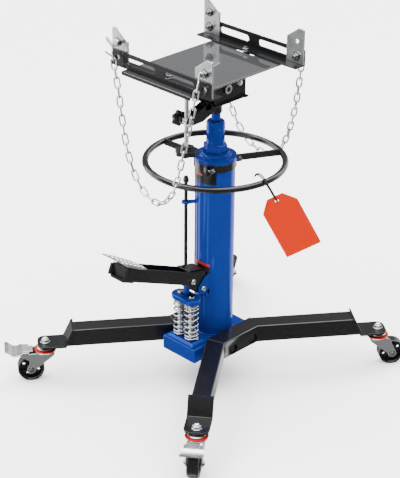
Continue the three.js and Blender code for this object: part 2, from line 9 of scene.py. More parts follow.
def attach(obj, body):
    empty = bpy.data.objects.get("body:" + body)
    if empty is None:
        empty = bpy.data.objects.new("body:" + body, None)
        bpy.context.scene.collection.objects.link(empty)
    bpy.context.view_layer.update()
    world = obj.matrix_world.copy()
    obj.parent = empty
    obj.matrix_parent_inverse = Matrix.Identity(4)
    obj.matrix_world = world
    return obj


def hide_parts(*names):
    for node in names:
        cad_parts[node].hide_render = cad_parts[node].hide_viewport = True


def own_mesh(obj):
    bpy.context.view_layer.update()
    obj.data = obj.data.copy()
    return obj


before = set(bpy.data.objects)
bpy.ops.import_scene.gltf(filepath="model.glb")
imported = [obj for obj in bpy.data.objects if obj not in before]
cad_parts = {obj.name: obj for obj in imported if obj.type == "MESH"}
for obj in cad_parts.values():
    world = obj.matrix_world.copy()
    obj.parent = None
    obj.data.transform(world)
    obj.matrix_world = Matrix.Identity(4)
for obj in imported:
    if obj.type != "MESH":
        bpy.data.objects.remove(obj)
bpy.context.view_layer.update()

PI = math.pi
rng = random.Random(7)


# ---- camera, light, floor ----
def show(obj):
    """Puts an object into the scene."""
    bpy.context.scene.collection.objects.link(obj)


def make_camera():
    az, el, roll = (math.radians(a) for a in (44.74, 27.25, 0.49))
    back = Vector((math.sin(az) * math.cos(el), -math.cos(az) * math.cos(el), math.sin(el)))
    right = Vector((math.cos(az), math.sin(az), 0))
    up = right.cross(-back)
    r2 = math.cos(roll) * right + math.sin(roll) * up
    u2 = -math.sin(roll) * right + math.cos(roll) * up
    place = right * -0.03889 + Vector((0, 0, 0.41614)) + back * 4.27267
    data = bpy.data.cameras.new("camera")
    data.sensor_fit = "HORIZONTAL"
    data.sensor_width = 36
    data.lens = 140.7
    data.clip_end = 60
    cam = bpy.data.objects.new("camera", data)
    m = Matrix((r2, u2, back)).transposed().to_4x4()
    m.translation = place
    cam.matrix_world = m
    show(cam)
    bpy.context.scene.camera = cam


def area(name, at, aim, size, power, size_y=None):
    data = bpy.data.lights.new(name, "AREA")
    data.shape = "RECTANGLE"
    data.size = size
    data.size_y = size_y or size
    data.energy = power
    o = bpy.data.objects.new(name, data)
    o.location = at
    o.rotation_euler = (Vector(aim) - Vector(at)).to_track_quat("-Z", "Y").to_euler()
    show(o)
    return o


# Soft boxes seen in reflections: direction in degrees, half width, softness, strength.
WALL_LIGHTS = [(-161, 17, 6, 4.6), (-96, 13, 4, 2.6), (86, 16, 14, 2.6)]
WALL, CEILING = 0.36, 8.0


def make_world():
    """Dim walls, a bright ceiling and upright soft boxes, all worked out from the direction looked in."""
    world = bpy.data.worlds.new("studio")
    world.use_nodes = True
    nt = world.node_tree

    def node(kind, **settings):
        n = nt.nodes.new(kind)
        for k, v in settings.items():
            setattr(n, k, v)
        return n

    def link(a, b):
        nt.links.new(a, b)

    def ramp(value, lo, hi, out):
        r = node("ShaderNodeMapRange", interpolation_type="SMOOTHSTEP")
        for key, v in (("From Min", lo), ("From Max", hi), ("To Max", out)):
            r.inputs[key].default_value = v
        link(value, r.inputs["Value"])
        return r.outputs["Result"]

    def add(a, b):
        n = node("ShaderNodeMath", operation="ADD")
        link(a, n.inputs[0])
        link(b, n.inputs[1])
        return n.outputs[0]

    co = node("ShaderNodeTexCoord")
    sep = node("ShaderNodeSeparateXYZ")
    link(co.outputs["Generated"], sep.inputs[0])
    level = node("ShaderNodeMath", operation="ADD")
    link(ramp(sep.outputs["Z"], 0.62, 0.80, CEILING - WALL), level.inputs[0])
    level.inputs[1].default_value = WALL
    total = level.outputs[0]
    flat = node("ShaderNodeCombineXYZ")
    link(sep.outputs["X"], flat.inputs["X"])
    link(sep.outputs["Y"], flat.inputs["Y"])
    unit = node("ShaderNodeVectorMath", operation="NORMALIZE")
    link(flat.outputs[0], unit.inputs[0])
    for az, half, soft, gain in WALL_LIGHTS:
        dot = node("ShaderNodeVectorMath", operation="DOT_PRODUCT")
        a = math.radians(az)
        dot.inputs[1].default_value = (math.cos(a), math.sin(a), 0)
        link(unit.outputs[0], dot.inputs[0])
        edge = (math.cos(math.radians(half + soft)), math.cos(math.radians(half)))
        total = add(total, ramp(dot.outputs["Value"], *edge, gain))
    link(total, nt.nodes["Background"].inputs["Strength"])
    nt.nodes["Background"].inputs["Color"].default_value = (1, 1, 1, 1)
    bpy.context.scene.world = world


def make_floor():
    mat = bpy.data.materials.new("floor_paper")
    mat.use_nodes = True
    nt = mat.node_tree
    bsdf = nt.nodes["Principled BSDF"]
    tex = nt.nodes.new("ShaderNodeTexNoise")
    tex.inputs["Scale"].default_value = 3
    mix = nt.nodes.new("ShaderNodeMix")
    mix.data_type = "RGBA"
    mix.inputs[6].default_value = (0.93, 0.93, 0.93, 1)
    mix.inputs[7].default_value = (0.95, 0.95, 0.95, 1)
    nt.links.new(tex.outputs["Fac"], mix.inputs[0])
    nt.links.new(mix.outputs[2], bsdf.inputs["Base Color"])
    bsdf.inputs["Roughness"].default_value = 0.9
    bsdf.inputs["Specular IOR Level"].default_value = 0.1
    me = bpy.data.meshes.new("floor")
    me.from_pydata([(-30, -30, 0), (30, -30, 0), (30, 30, 0), (-30, 30, 0)], [], [(0, 1, 2, 3)])
    me.materials.append(mat)
    floor = bpy.data.objects.new("floor", me)
    show(floor)
    floor.visible_glossy = False


def make_lights():
    area("key", (-1.6, -2.2, 3.6), (0, 0, 0.5), 1.2, 45, 1.2)
    area("rim", (0.6, 3.0, 2.4), (0, 0, 0.6), 0.8, 25, 1.6)


make_camera()
make_world()
make_floor()
make_lights()


# ---- finishes ----
def finish_of(name, color, rough, metal=0.0, coat=0.0, coat_rough=0.05, spread=0.12, rough_spread=0.1,
              grain=60.0, bump=0.02, bump_scale=400.0, stretch=(1, 1, 1), edge_wear_and_highlight=0.0, spec=0.5, tint=(1, 1, 1)):
    """A node finish: noise in the colour and roughness, a fine bump, and lighter edges from pointiness,
    partly edge wear and partly a painted edge highlight.
    """
    m = bpy.data.materials.new(name)
    m.use_nodes = True
    nt = m.node_tree
    new, link = nt.nodes.new, nt.links.new
    b = nt.nodes["Principled BSDF"]
    for key, value in (("Metallic", metal), ("Coat Weight", coat), ("Coat Roughness", coat_rough),
                       ("Specular IOR Level", spec), ("Specular Tint", (*tint, 1))):
        b.inputs[key].default_value = value
    co = new("ShaderNodeTexCoord")
    mp = new("ShaderNodeMapping")
    mp.inputs["Scale"].default_value = stretch
    link(co.outputs["Object"], mp.inputs["Vector"])

    def noise_at(scale, detail):
        t = new("ShaderNodeTexNoise")
        t.inputs["Scale"].default_value = scale
        t.inputs["Detail"].default_value = detail
        link(mp.outputs["Vector"], t.inputs["Vector"])
        return t

    big = noise_at(grain * 0.12, 3)
    fine = noise_at(grain, 5)
    mix = new("ShaderNodeMix")
    mix.data_type = "RGBA"
    mix.inputs[6].default_value = (*[c * (1 - spread) for c in color], 1)
    mix.inputs[7].default_value = (*[min(1, c * (1 + spread)) for c in color], 1)
    link(big.outputs["Fac"], mix.inputs[0])
    last = mix.outputs[2]
    # Painted edge highlight mixed with edge wear: pointiness lightens the colour on sharp edges.
    if edge_wear_and_highlight:
        geo = new("ShaderNodeNewGeometry")
        ramp = new("ShaderNodeMapRange")
        ramp.inputs["From Min"].default_value = 0.54
        ramp.inputs["From Max"].default_value = 0.66
        ramp.inputs["To Max"].default_value = edge_wear_and_highlight
        link(geo.outputs["Pointiness"], ramp.inputs["Value"])
        edge = new("ShaderNodeMix")
        edge.data_type = "RGBA"
        edge.inputs[7].default_value = (*[min(1, c * 2.2 + 0.03) for c in color], 1)
        link(ramp.outputs["Result"], edge.inputs[0])
        link(last, edge.inputs[6])
        last = edge.outputs[2]
    link(last, b.inputs["Base Color"])
    rr = new("ShaderNodeMapRange")
    rr.inputs["To Min"].default_value = max(0.01, rough * (1 - rough_spread))
    rr.inputs["To Max"].default_value = min(1, rough * (1 + rough_spread))
    link(fine.outputs["Fac"], rr.inputs["Value"])
    link(rr.outputs["Result"], b.inputs["Roughness"])
    if bump:
        bt = noise_at(bump_scale, 2)
        bn = new("ShaderNodeBump")
        bn.inputs["Strength"].default_value = bump
        bn.inputs["Distance"].default_value = 0.0008
        link(bt.outputs["Fac"], bn.inputs["Height"])
        link(bn.outputs["Normal"], b.inputs["Normal"])
    return m


# The lighter-edge amounts given below are a painted edge highlight on each finish, partly edge wear.
BLUE = finish_of("blue_paint", (0.0052, 0.0230, 0.170), 0.12, metal=0.35, coat=0.16, coat_rough=0.03,
                 spread=0.05,
                 rough_spread=0.15, grain=40, bump=0.008, bump_scale=260, edge_wear_and_highlight=0.2, spec=0.12,
                 tint=(0.12, 0.30, 1.0))
BLACK = finish_of("black_paint", (0.0040, 0.0041, 0.0046), 0.19, coat=0.06, coat_rough=0.10, spread=0.08,
                  rough_spread=0.12, grain=50, bump=0.006, bump_scale=500, edge_wear_and_highlight=0.15, spec=0.36)
TRAY = finish_of("tray_gloss_paint", (0.029, 0.0295, 0.032), 0.05, coat=1.0, coat_rough=0.015, spread=0.05,
                 rough_spread=0.2, grain=30, bump=0.0, edge_wear_and_highlight=0.2, spec=0.8)
ZINC = finish_of("zinc_plating", (0.60, 0.61, 0.61), 0.28, metal=1.0, spread=0.06, rough_spread=0.3, grain=45,
                 bump=0.02, bump_scale=300)
CHROME = finish_of("bright_chrome", (0.60, 0.61, 0.62), 0.10, metal=1.0, spread=0.04, rough_spread=0.4,
                   grain=40,
                   bump=0.01, bump_scale=200)
BOLT = finish_of("bolt_zinc", (0.24, 0.245, 0.25), 0.22, metal=1.0, spread=0.08, rough_spread=0.3, grain=60,
                 bump=0.02,
                 bump_scale=300)
SPRING = finish_of("bright_spring_wire", (0.40, 0.41, 0.42), 0.10, metal=1.0, spread=0.05, rough_spread=0.3,
                   grain=30,
                   bump=0.02, bump_scale=200)
PLASTIC = finish_of("black_plastic", (0.005, 0.005, 0.0055), 0.34, spread=0.1, rough_spread=0.2, bump=0.06,
                    bump_scale=700, spec=0.35)
WHEEL = finish_of("wheel_nylon", (0.0045, 0.0045, 0.005), 0.27, spread=0.15, rough_spread=0.3, grain=50,
                  bump=0.06,
                  bump_scale=500, spec=0.35)
SEAL = finish_of("red_seal", (0.26, 0.004, 0.002), 0.50, spread=0.08, rough_spread=0.2, bump=0.03,
                 bump_scale=500,
                 spec=0.1)
TREAD = finish_of("grey_tread", (0.10, 0.105, 0.11), 0.38, metal=0.6, spread=0.15, rough_spread=0.25,
                  bump=0.12,
                  bump_scale=500, edge_wear_and_highlight=0.4)
CARD = finish_of("orange_card", (0.36, 0.013, 0.0004), 0.75, spread=0.03, rough_spread=0.1, grain=80,
                 bump=0.05,
                 bump_scale=300, spec=0.03)
THREAD = finish_of("black_thread", (0.012, 0.011, 0.010), 0.8, spread=0.2, rough_spread=0.1, grain=300,
                   bump=0.3,
                   bump_scale=2500, spec=0.2)
LABEL = finish_of("blank_label", (0.0025, 0.0025, 0.0030), 0.30, coat=0.05, coat_rough=0.2, spread=0.1,
                  rough_spread=0.2, bump=0.01, spec=0.3)
STRIPE = finish_of("label_stripe", (0.25, 0.006, 0.007), 0.4, spread=0.05, rough_spread=0.2, grain=80,
                   bump=0.02,
                   bump_scale=600, spec=0.3)


# ---- shapes, in millimetres ----
def arc(cx, cy, r, a0, a1, n=12):
    return [(cx + r * math.cos(a0 + (a1 - a0) * i / n),
             cy + r * math.sin(a0 + (a1 - a0) * i / n)) for i in range(n + 1)]


def circle(cx, cy, r, n=32):
    return arc(cx, cy, r, 0, 2 * PI, n)[:n]


def slot(cx, cy, half, r, n=12):
    return arc(cx + half, cy, r, -PI / 2, PI / 2, n) + arc(cx - half, cy, r, PI / 2, 1.5 * PI, n)


def rect(x0, x1, y0, y1):
    return [(x0, y0), (x1, y0), (x1, y1), (x0, y1)]


def soften(pts, r, n=4, closed=True, only=None):
    """Rounds the corners of an outline."""
    out, k = [], len(pts)
    for i, p in enumerate(pts):
        if (not closed and i in (0, k - 1)) or (only is not None and i not in only):
            out.append(tuple(p))
            continue
        p = Vector(p)
        a, b = Vector(pts[i - 1]) - p, Vector(pts[(i + 1) % k]) - p
        la, lb = a.length, b.length
        if la < 1e-6 or lb < 1e-6:
            out.append(tuple(p))
            continue
        ang = a.angle(b)
        if ang > math.radians(172) or ang < 0.05:
            out.append(tuple(p))
            continue
        d = min(r / math.tan(ang / 2), la * 0.46, lb * 0.46)
        s, e = p + a / la * d, p + b / lb * d
        for j in range(n + 1):
            t = j / n
            q = s * (1 - t) ** 2 + p * 2 * t * (1 - t) + e * t * t
            out.append((q.x, q.y))
    return out


def put(axis, u, v, h):
    """A point from outline coordinates (u, v) and a height h along axis.

    Along x they are (y, z), along y (x, z) and along z (x, y).
    """
    return {"x": (h, u, v), "y": (u, h, v), "z": (u, v, h)}[axis]


def mesh_of(verts, faces):
    bm = bmesh.new()
    vs = [bm.verts.new(v) for v in verts]
    for f in faces:
        bm.faces.new([vs[i] for i in f])
    bmesh.ops.recalc_face_normals(bm, faces=bm.faces)
    return bm


def lathe(profile, seg=64, axis="z", at=(0, 0), closed=False, wave=None):
    """Turned shape from (radius, height) points.

    It is closed on itself, or on the axis where it starts and ends.
    """
    verts, rows = [], []
    for r, h in profile:
        if r < 1e-6:
            rows.append([len(verts)])
            verts.append(put(axis, at[0], at[1], h))
            continue
        rows.append(list(range(len(verts), len(verts) + seg)))
        for i in range(seg):
            t = 2 * PI * i / seg
            k = r * (wave(t, h) if wave else 1)
            verts.append(put(axis, at[0] + k * math.cos(t), at[1] + k * math.sin(t), h))
    pairs = list(zip(rows, rows[1:])) + ([(rows[-1], rows[0])] if closed else [])
    faces = []
    for a, b in pairs:
        for i in range(seg):
            j = (i + 1) % seg
            if len(a) == 1 and len(b) > 1:
                faces.append((a[0], b[i], b[j]))
            elif len(b) == 1 and len(a) > 1:
                faces.append((a[i], b[0], a[j]))
            elif len(a) > 1 and len(b) > 1:
                faces.append((a[i], b[i], b[j], a[j]))
    return mesh_of(verts, faces)


def cyl(axis, r, a, b, p=0, q=0, ch=0.7, seg=48):
    a, b = sorted((a, b))
    ch = min(ch, (b - a) / 2.2, r / 2)
    mid = ch * 0.3
    pts = [(0, a), (r - ch, a), (r - mid, a + mid), (r, a + ch), (r, b - ch), (r - mid, b - mid),
           (r - ch, b), (0, b)]
    return lathe(pts, seg, axis, (p, q))


def ring(r0, r1, z0, z1, ch=0.6, axis="z", at=(0, 0), seg=96):
    pts = [(r0, z0), (r1 - ch, z0), (r1, z0 + ch), (r1, z1 - ch), (r1 - ch, z1), (r0, z1)]
    return lathe(pts, seg, axis, at, closed=True)


def plate(axis, outline, a, b, holes=(), bev=0.7, res=2):
    """Flat plate with holes and rounded rims, from a to b along axis."""
    a, b = sorted((a, b))
    cu = bpy.data.curves.new("plate", "CURVE")
    cu.dimensions = "2D"
    cu.fill_mode = "BOTH"
    bev = min(bev, (b - a) / 2.05)
    cu.extrude = (b - a) / 2 - bev
    cu.bevel_depth = bev
    cu.bevel_resolution = res
    cu.offset = -bev
    for i, pts in enumerate([outline, *holes]):
        turn = sum(p[0] * q[1] - q[0] * p[1] for p, q in zip(pts, [*pts[1:], pts[0]]))
        if (turn > 0) != (i == 0):
            pts = pts[::-1]
        sp = cu.splines.new("POLY")
        sp.points.add(len(pts) - 1)
        for point, (u, v) in zip(sp.points, pts):
            point.co = (u, v, 0, 1)
        sp.use_cyclic_u = True
    o = bpy.data.objects.new("plate", cu)
    show(o)
    me = bpy.data.meshes.new_from_object(o.evaluated_get(bpy.context.evaluated_depsgraph_get()))
    bm = bmesh.new()
    bm.from_mesh(me)
    bpy.data.objects.remove(o)
    bpy.data.curves.remove(cu)
    bpy.data.meshes.remove(me)
    bmesh.ops.remove_doubles(bm, verts=bm.verts, dist=1e-4)
    mid = (a + b) / 2
    for v in bm.verts:
        v.co = put(axis, v.co.x, v.co.y, v.co.z + mid)
    bmesh.ops.recalc_face_normals(bm, faces=bm.faces)
    return bm


def pair(axis, outline, a, b, holes=()):
    """The same plate on both sides of the middle."""
    return [plate(axis, outline, lo, hi, holes, bev=0.8) for lo, hi in ((a, b), (-b, -a))]


def box(x0, x1, y0, y1, z0, z1, bev=1.0, seg=2):
    v = [(x, y, z) for x in (x0, x1) for y in (y0, y1) for z in (z0, z1)]
    bm = mesh_of(v, [(0, 1, 3, 2), (4, 6, 7, 5), (0, 4, 5, 1), (2, 3, 7, 6), (0, 2, 6, 4), (1, 5, 7, 3)])
    if bev:
        bmesh.ops.bevel(bm, geom=list(bm.edges), offset=bev, segments=seg, profile=0.5, affect="EDGES",
                        clamp_overlap=True)
    return bm


def hexa(axis, r, a, b, p=0, q=0, hole=0, bev=1.0):
    first = -PI / 2 if axis == "z" else PI / 2
    pts = [(p + r * math.cos(first + k * PI / 3), q + r * math.sin(first + k * PI / 3)) for k in range(6)]
    return plate(axis, pts, a, b, [circle(p, q, hole)] if hole else [], bev)


def frames_along(path, closed=False):
    """Points with a side and an up direction that turn as little as possible."""
    pts = [Vector(p) for p in path]
    n = len(pts)
    out, side = [], None
    for i, p in enumerate(pts):
        a = pts[(i - 1) % n] if closed or i else p
        b = pts[(i + 1) % n] if closed or i < n - 1 else p
        t = (b - a).normalized()
        if side is None:
            side = t.cross(Vector((0, 0, 1)) if abs(t.z) < 0.9 else Vector((1, 0, 0)))
        side = (side - t * side.dot(t)).normalized()
        out.append((p, side.copy(), t.cross(side)))
    return out


def tube(path, r, sides=10, closed=False, rough=0.0):
    """Round wire along a path; rough makes a weld bead of it."""
    verts, faces = [], []
    fr = frames_along(path, closed)
    for p, s, u in fr:
        k = r * (1 + rough * noise.noise(p * 0.35)) if rough else r
        for i in range(sides):
            t = 2 * PI * i / sides
            verts.append(p + s * (k * math.cos(t)) + u * (k * math.sin(t)))
    n = len(fr)
    for i in range(n if closed else n - 1):
        for j in range(sides):
            a, b = i * sides, ((i + 1) % n) * sides
            k = (j + 1) % sides
            faces.append((a + j, a + k, b + k, b + j))
    if not closed:
        faces.append(tuple(range(sides)))
        faces.append(tuple(range((n - 1) * sides, n * sides)))
    return mesh_of(verts, faces)


def smooth_path(points, n):
    """Catmull-Rom points through a path, about evenly spaced, n of them."""
    p = [Vector(q) for q in points]
    p = [p[0] * 2 - p[1], *p, p[-1] * 2 - p[-2]]
    fine = []
    for i in range(1, len(p) - 2):
        for k in range(24):
            t = k / 24
            fine.append(0.5 * ((2 * p[i]) + (p[i + 1] - p[i - 1]) * t
                               + (2 * p[i - 1] - 5 * p[i] + 4 * p[i + 1] - p[i + 2]) * t ** 2
                               + (3 * p[i] - p[i - 1] - 3 * p[i + 1] + p[i + 2]) * t ** 3))
    fine.append(p[-2])
    at = [0.0]
    for a, b in zip(fine, fine[1:]):
        at.append(at[-1] + (b - a).length)
    out, j = [], 0
    for i in range(n):
        d = at[-1] * i / (n - 1)
        while j < len(at) - 2 and at[j + 1] < d:
            j += 1
        t = (d - at[j]) / max(at[j + 1] - at[j], 1e-9)
        out.append(fine[j].lerp(fine[j + 1], t))
    return out


def loop_at(r, z, n=96):
    return [(r * math.cos(2 * PI * i / n), r * math.sin(2 * PI * i / n), z) for i in range(n)]


def rotation(angle, axis):
    return Matrix.Rotation(angle, 4, axis)


def shift(x, y, z):
    return Matrix.Translation((x, y, z))


def moved(bm, m):
    bmesh.ops.transform(bm, matrix=m, verts=bm.verts)
    return bm


def cut(bm, *tools):
    """Takes the tools out of the shape."""
    objs = []
    for s in (bm, *tools):
        me = bpy.data.meshes.new("cut")
        s.to_mesh(me)
        o = bpy.data.objects.new("cut", me)
        show(o)
        objs.append(o)
    for t in objs[1:]:
        mod = objs[0].modifiers.new("cut", "BOOLEAN")
        mod.operation = "DIFFERENCE"
        mod.solver = "EXACT"
        mod.object = t
    me = bpy.data.meshes.new_from_object(objs[0].evaluated_get(bpy.context.evaluated_depsgraph_get()))
    out = bmesh.new()
    out.from_mesh(me)
    for o in objs:
        d = o.data
        bpy.data.objects.remove(o)
        bpy.data.meshes.remove(d)
    bpy.data.meshes.remove(me)
    return out


def piece(name, body, parts, replaces=(), at=None, sharp=38):
    """One shown piece from (finish, [shapes]) groups, in millimetres, riding on a body."""
    me = bpy.data.meshes.new(name)
    bm = bmesh.new()
    tmp = bpy.data.meshes.new("tmp")
    for i, (mat, shapes) in enumerate(parts):
        me.materials.append(mat)
        for s in shapes:
            for f in s.faces:
                f.material_index = i
            s.to_mesh(tmp)
            bm.from_mesh(tmp)
    bpy.data.meshes.remove(tmp)
    scale = Matrix.Scale(0.001, 4)
    bmesh.ops.transform(bm, matrix=scale @ at if at is not None else scale, verts=bm.verts)
    for f in bm.faces:
        f.smooth = True
    bm.to_mesh(me)
    me.set_sharp_from_angle(angle=math.radians(sharp))
    o = bpy.data.objects.new(name, me)
    show(o)
    wn = o.modifiers.new("normals", "WEIGHTED_NORMAL")
    wn.keep_sharp = True
    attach(o, body)
    if replaces:
        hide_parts(*replaces)
    return o


def dress(node, mat):
    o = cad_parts[node]
    o.data.materials.clear()
    o.data.materials.append(mat)


def bolt_head(axis, r, a, b, p, q, washer=0):
    """Hexagon head from a to b with bevelled edges, and a washer under it."""
    lo, hi = min(a, b), max(a, b)
    out = [hexa(axis, r, lo, hi, p, q, bev=min(1.2, (hi - lo) / 3))]
    if washer:
        out.append(cyl(axis, washer, a, a + (1.6 if b > a else -1.6), p, q, 0.4))
    return out


# ---- hydraulic unit ----
TANK_R = 54
PUMP_Y, PLUNGER_X = -107, 21.7
RELEASE_AT = (-46, -64)


def block():
    outline = [(-62, -136), (62, -136), (62, -92), (56.6, -92), (56.6, 88), (-56.6, 88), (-56.6, -92),
               (-62, -92)]
    body = plate("z", soften(outline, 3, only=(0, 1, 4, 5)), 102, 143, bev=2.2, res=3)
    lo, hi = rect(-50, 50, -133, -78), rect(-43, 43, -126, -84)
    verts = [(x, y, 142) for x, y in lo] + [(x, y, 146.5) for x, y in lo] + [(x, y, 153) for x, y in hi]
    faces = [(3, 2, 1, 0), (8, 9, 10, 11)]
    faces += [(k + i, k + (i + 1) % 4, k + 4 + (i + 1) % 4, k + 4 + i) for k in (0, 4) for i in range(4)]
    deck = mesh_of(verts, faces)
    bmesh.ops.bevel(deck, geom=list(deck.edges), offset=1.2, segments=2, profile=0.5, affect="EDGES",
                    clamp_overlap=True)
    bead = tube(loop_at(55, 144), 2.6, 8, True, 0.25)
    plugs, sockets = [], []
    for x, z in ((-38, 116), (-30, 126), (30, 126)):
        plugs.append(lathe([(0, -135.2), (1.7, -135.2), (1.9, -136.5), (3.2, -136.5), (3.6, -136),
                            (3.6, -134), (0, -134)], 20, "y", (x, z)))
        sockets.append(cyl("y", 1.8, -135.6, -134.4, x, z, 0.1, 6))
    piece("base_block_body", "base", [(BLUE, [body, deck, bead]), (BLACK, plugs + sockets)], ["base_block"])


def tank():
    shell = ring(49.8, TANK_R, 143.3, 661, 0.3, seg=128)
    piece("tank", "base", [(BLUE, [shell])], ["tank_tube"])
    cap = [(27.5, 661.3), (57.6, 661.3), (58.5, 662.2), (58.5, 669), (57.8, 671), (56, 672), (46, 672.3),
           (44.2, 673), (43.4, 674.5), (43, 676.6), (42, 677.8), (40, 678.2), (38.6, 678.8), (38, 680.6),
           (37.2, 681.8), (27.5, 682)]
    piece("cap", "base", [(BLUE, [lathe(cap, 128, closed=True)])], ["top_cap"])
    nut = [hexa("z", 33, 682.3, 703, hole=25.4, bev=1.8)]
    nut.append(ring(25.4, 27.6, 702, 705, 0.9))
    piece("gland", "base", [(BLUE, nut)])
    r1 = [(0, 155), (26.2, 155), (26.7, 155.5), (26.7, 175.5), (25, 176), (25, 763.5), (24.4, 765.6),
          (22.6, 768), (13.4, 768), (12.9, 767.4), (12.9, 746), (16, 746), (16, 170), (0, 170)]
    piece("ram_1", "stage_1", [(BLUE, [lathe(r1, 96), ring(24.9, 25.9, 748, 750, 0.5)])], ["ram_stage_1"])
    r2 = [(0, 178), (15.2, 178), (15.7, 178.5), (15.7, 195.5), (15.2, 196), (12.5, 196), (12.5, 811.5),
          (12, 812), (0, 812)]
    piece("ram_2", "stage_2", [(BLUE, [lathe(r2, 64)])], ["ram_stage_2"])


def curved_label(a0, a1, z0, z1, lean=0.0, r=TANK_R + 0.25):
    """Thin blank label wrapped on the tank between two angles, its far side higher by lean."""
    n = 20
    verts, faces = [], []
    for i in range(n + 1):
        t = math.radians(a0 + (a1 - a0) * i / n)
        dz = lean * i / n
        for rr, z in ((r, z0), (r + 0.25, z0), (r + 0.25, z1), (r, z1)):
            verts.append((rr * math.cos(t), rr * math.sin(t), z + dz))
    for i in range(n):
        for j in range(4):
            k = (j + 1) % 4
            faces.append((i * 4 + j, i * 4 + k, i * 4 + 4 + k, i * 4 + 4 + j))
    faces += [(0, 1, 2, 3), (n * 4, n * 4 + 1, n * 4 + 2, n * 4 + 3)]
    return mesh_of(verts, faces)


def labels():
    piece("column_label", "base", [
        (LABEL, [curved_label(-136, -42, 604, 639)]),
        (STRIPE, [curved_label(-128, -84, 626, 631, r=TANK_R + 0.45)]),
    ])
    piece("lever_label", "base", [
        (LABEL, [curved_label(-138, -58, 333, 370, -8)]),
        (STRIPE, [curved_label(-138, -58, 365, 373, -8, r=TANK_R + 0.45)]),
    ])


def pump():
    for i, x in enumerate((-PLUNGER_X, PLUNGER_X)):
        top = [(0, 132), (9, 132.6), (9, 268.7), (7, 268.7), (7, 286.6), (6, 288), (0, 288)]
        clip = lathe([(7, 283.3), (9.5, 283.3), (9.5, 285.3), (7, 285.3)], 40, at=(x, PUMP_Y), closed=True)
        piece(f"plunger_rod_{i + 1}", "pump", [(CHROME, [lathe(top, 40, at=(x, PUMP_Y)), clip])],
              [f"plunger_{i + 1}"])
        pts = []
        z0, z1, turns = 156.0, 266.0, 9.0
        n = int(turns * 28)
        for k in range(n + 1):
            t = k / n
            a = 2 * PI * turns * t
            flat = t - math.sin(2 * PI * t) / (2 * PI) * 0.55
            pts.append((x + 18 * math.cos(a), PUMP_Y + 18 * math.sin(a), z0 + (z1 - z0) * flat))
        coil = piece(f"spring_{i + 1}", "base", [(SPRING, [tube(pts, 2.3, 12)])], [f"return_spring_{i + 1}"])
        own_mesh(coil)
    cross = plate("z", slot(0, PUMP_Y, PLUNGER_X, 25, 24), 269, 283, bev=3.2, res=4)
    piece("pump_crosshead", "pump", [(BLUE, [cross])], ["crosshead"])
    stalk = [(0, 286), (5.6, 286), (6.5, 287), (6.5, 292), (8.6, 292.6), (9, 293.4), (9, 322), (8, 328),
             (0, 328)]
    link = [lathe(stalk, 40, at=(0, -105)), cyl("x", 13, -11, 11, -104, 332, 1.2)]
    piece("pump_link", "link", [(BLUE, link)], ["drive_link"])


def lugs():
    pts = [(-40, 338), (-62, 332), *arc(-70, 301, 17, 2.4, 4.9, 20), (-40, 272)]
    s = [plate("x", soften(pts, 3, only=(0, 1)), 24.5, 29.5, bev=0.9), plate("x", pts, -29.5, -24.5, bev=0.9),
         box(-29.5, 29.5, -56, -45, 272, 292, 1.5)]
    for x in (27, -27):
        path = [(x, -46.5 - 0.2 * k, 276 + k * 3.2) for k in range(20)]
        s.append(tube(path, 2.6, 8, rough=0.3))
    piece("pedal_lug_plates", "base", [(BLUE, s)], ["pedal_lugs"])
    piece("fulcrum", "base", [(CHROME, pin_shapes(31, -70, 301))], ["fulcrum_pin"])


def pin_shapes(half, y, z):
    out = [cyl("x", 6, -half, half, y, z)]
    for s in (-1, 1):
        a = s * (half - 0.9)
        head = [(0, a), (8.5, a), (8.5, a + s * 2.2), (7.6, a + s * 3.4), (4.4, a + s * 3.9),
                (3.6, a + s * 3.1), (0, a + s * 3.0)]
        out.append(lathe(head, 40, "x", (y, z)))
    return out


PEDAL_AT = shift(0, -70, 301) @ rotation(math.radians(-23.5), "X")
DRIVE_AT = (-43.54, 14.87)


def pedal():
    cheek = [(-72, 43), (-12, 54), (-1, 42), (9, 20), *arc(0, 0, 13, 0.3, -1.2, 10), (-18, -15),
             (-51, -6), (-65, 8), (-72, 8)]
    cheek = soften(cheek, 3, only=(0, 1, 2, 3, 15, 16, 17))
    u = [(-25, 41), (-25, 3), (25, 3), (25, 41), (21.5, 41), (21.5, 6.5), (-21.5, 6.5), (-21.5, 41)]
    u = soften(soften(u, 1.5, 3, only=(0, 3, 4, 7)), 3.5, 4)
    black = [*pair("x", cheek, 19.5, 24),
             plate("x", soften([(-72, 43), (-12, 54), (-12, 50), (-72, 39)], 1), -24, 24, bev=0.8),
             plate("y", u, -318, -64, bev=0.8), box(-24.6, 24.6, -318, -276, 0.4, 3.6, 1.2),
             box(-33, -25, -322, -300, 6, 36, 1.5)]
    web = plate("x", [(-320.5, 41), (-317, 41), (-304, 2), (-307.5, 2)], -26, 25.6, bev=0.8)
    for x in (-24.6, 24.6):
        black.append(tube([(x * 0.98, -66 - 0.1 * k, 8 + 1.7 * k) for k in range(19)], 1.5, 8, rough=0.3))
    piece("pedal_arm", "pedal", [(BLACK, [*black, web])], ["pedal_lever"], PEDAL_AT)
    piece("drive_pivot", "pedal", [(CHROME, pin_shapes(25.5, *DRIVE_AT))], ["drive_pin"], PEDAL_AT)


def tread_height(y):
    """Underside height of the foot plate at distance y out along the lever."""
    t = (-245 - y) / 107
    return 41.5 + 14.5 * t - 2.6 * t * t


def tread_half(t):
    return 27 + 23 * min(1, t / 0.55) ** 0.8 if t < 0.55 else 50 - 4 * max(0, t - 0.8) * 5 * max(0, t - 0.8)


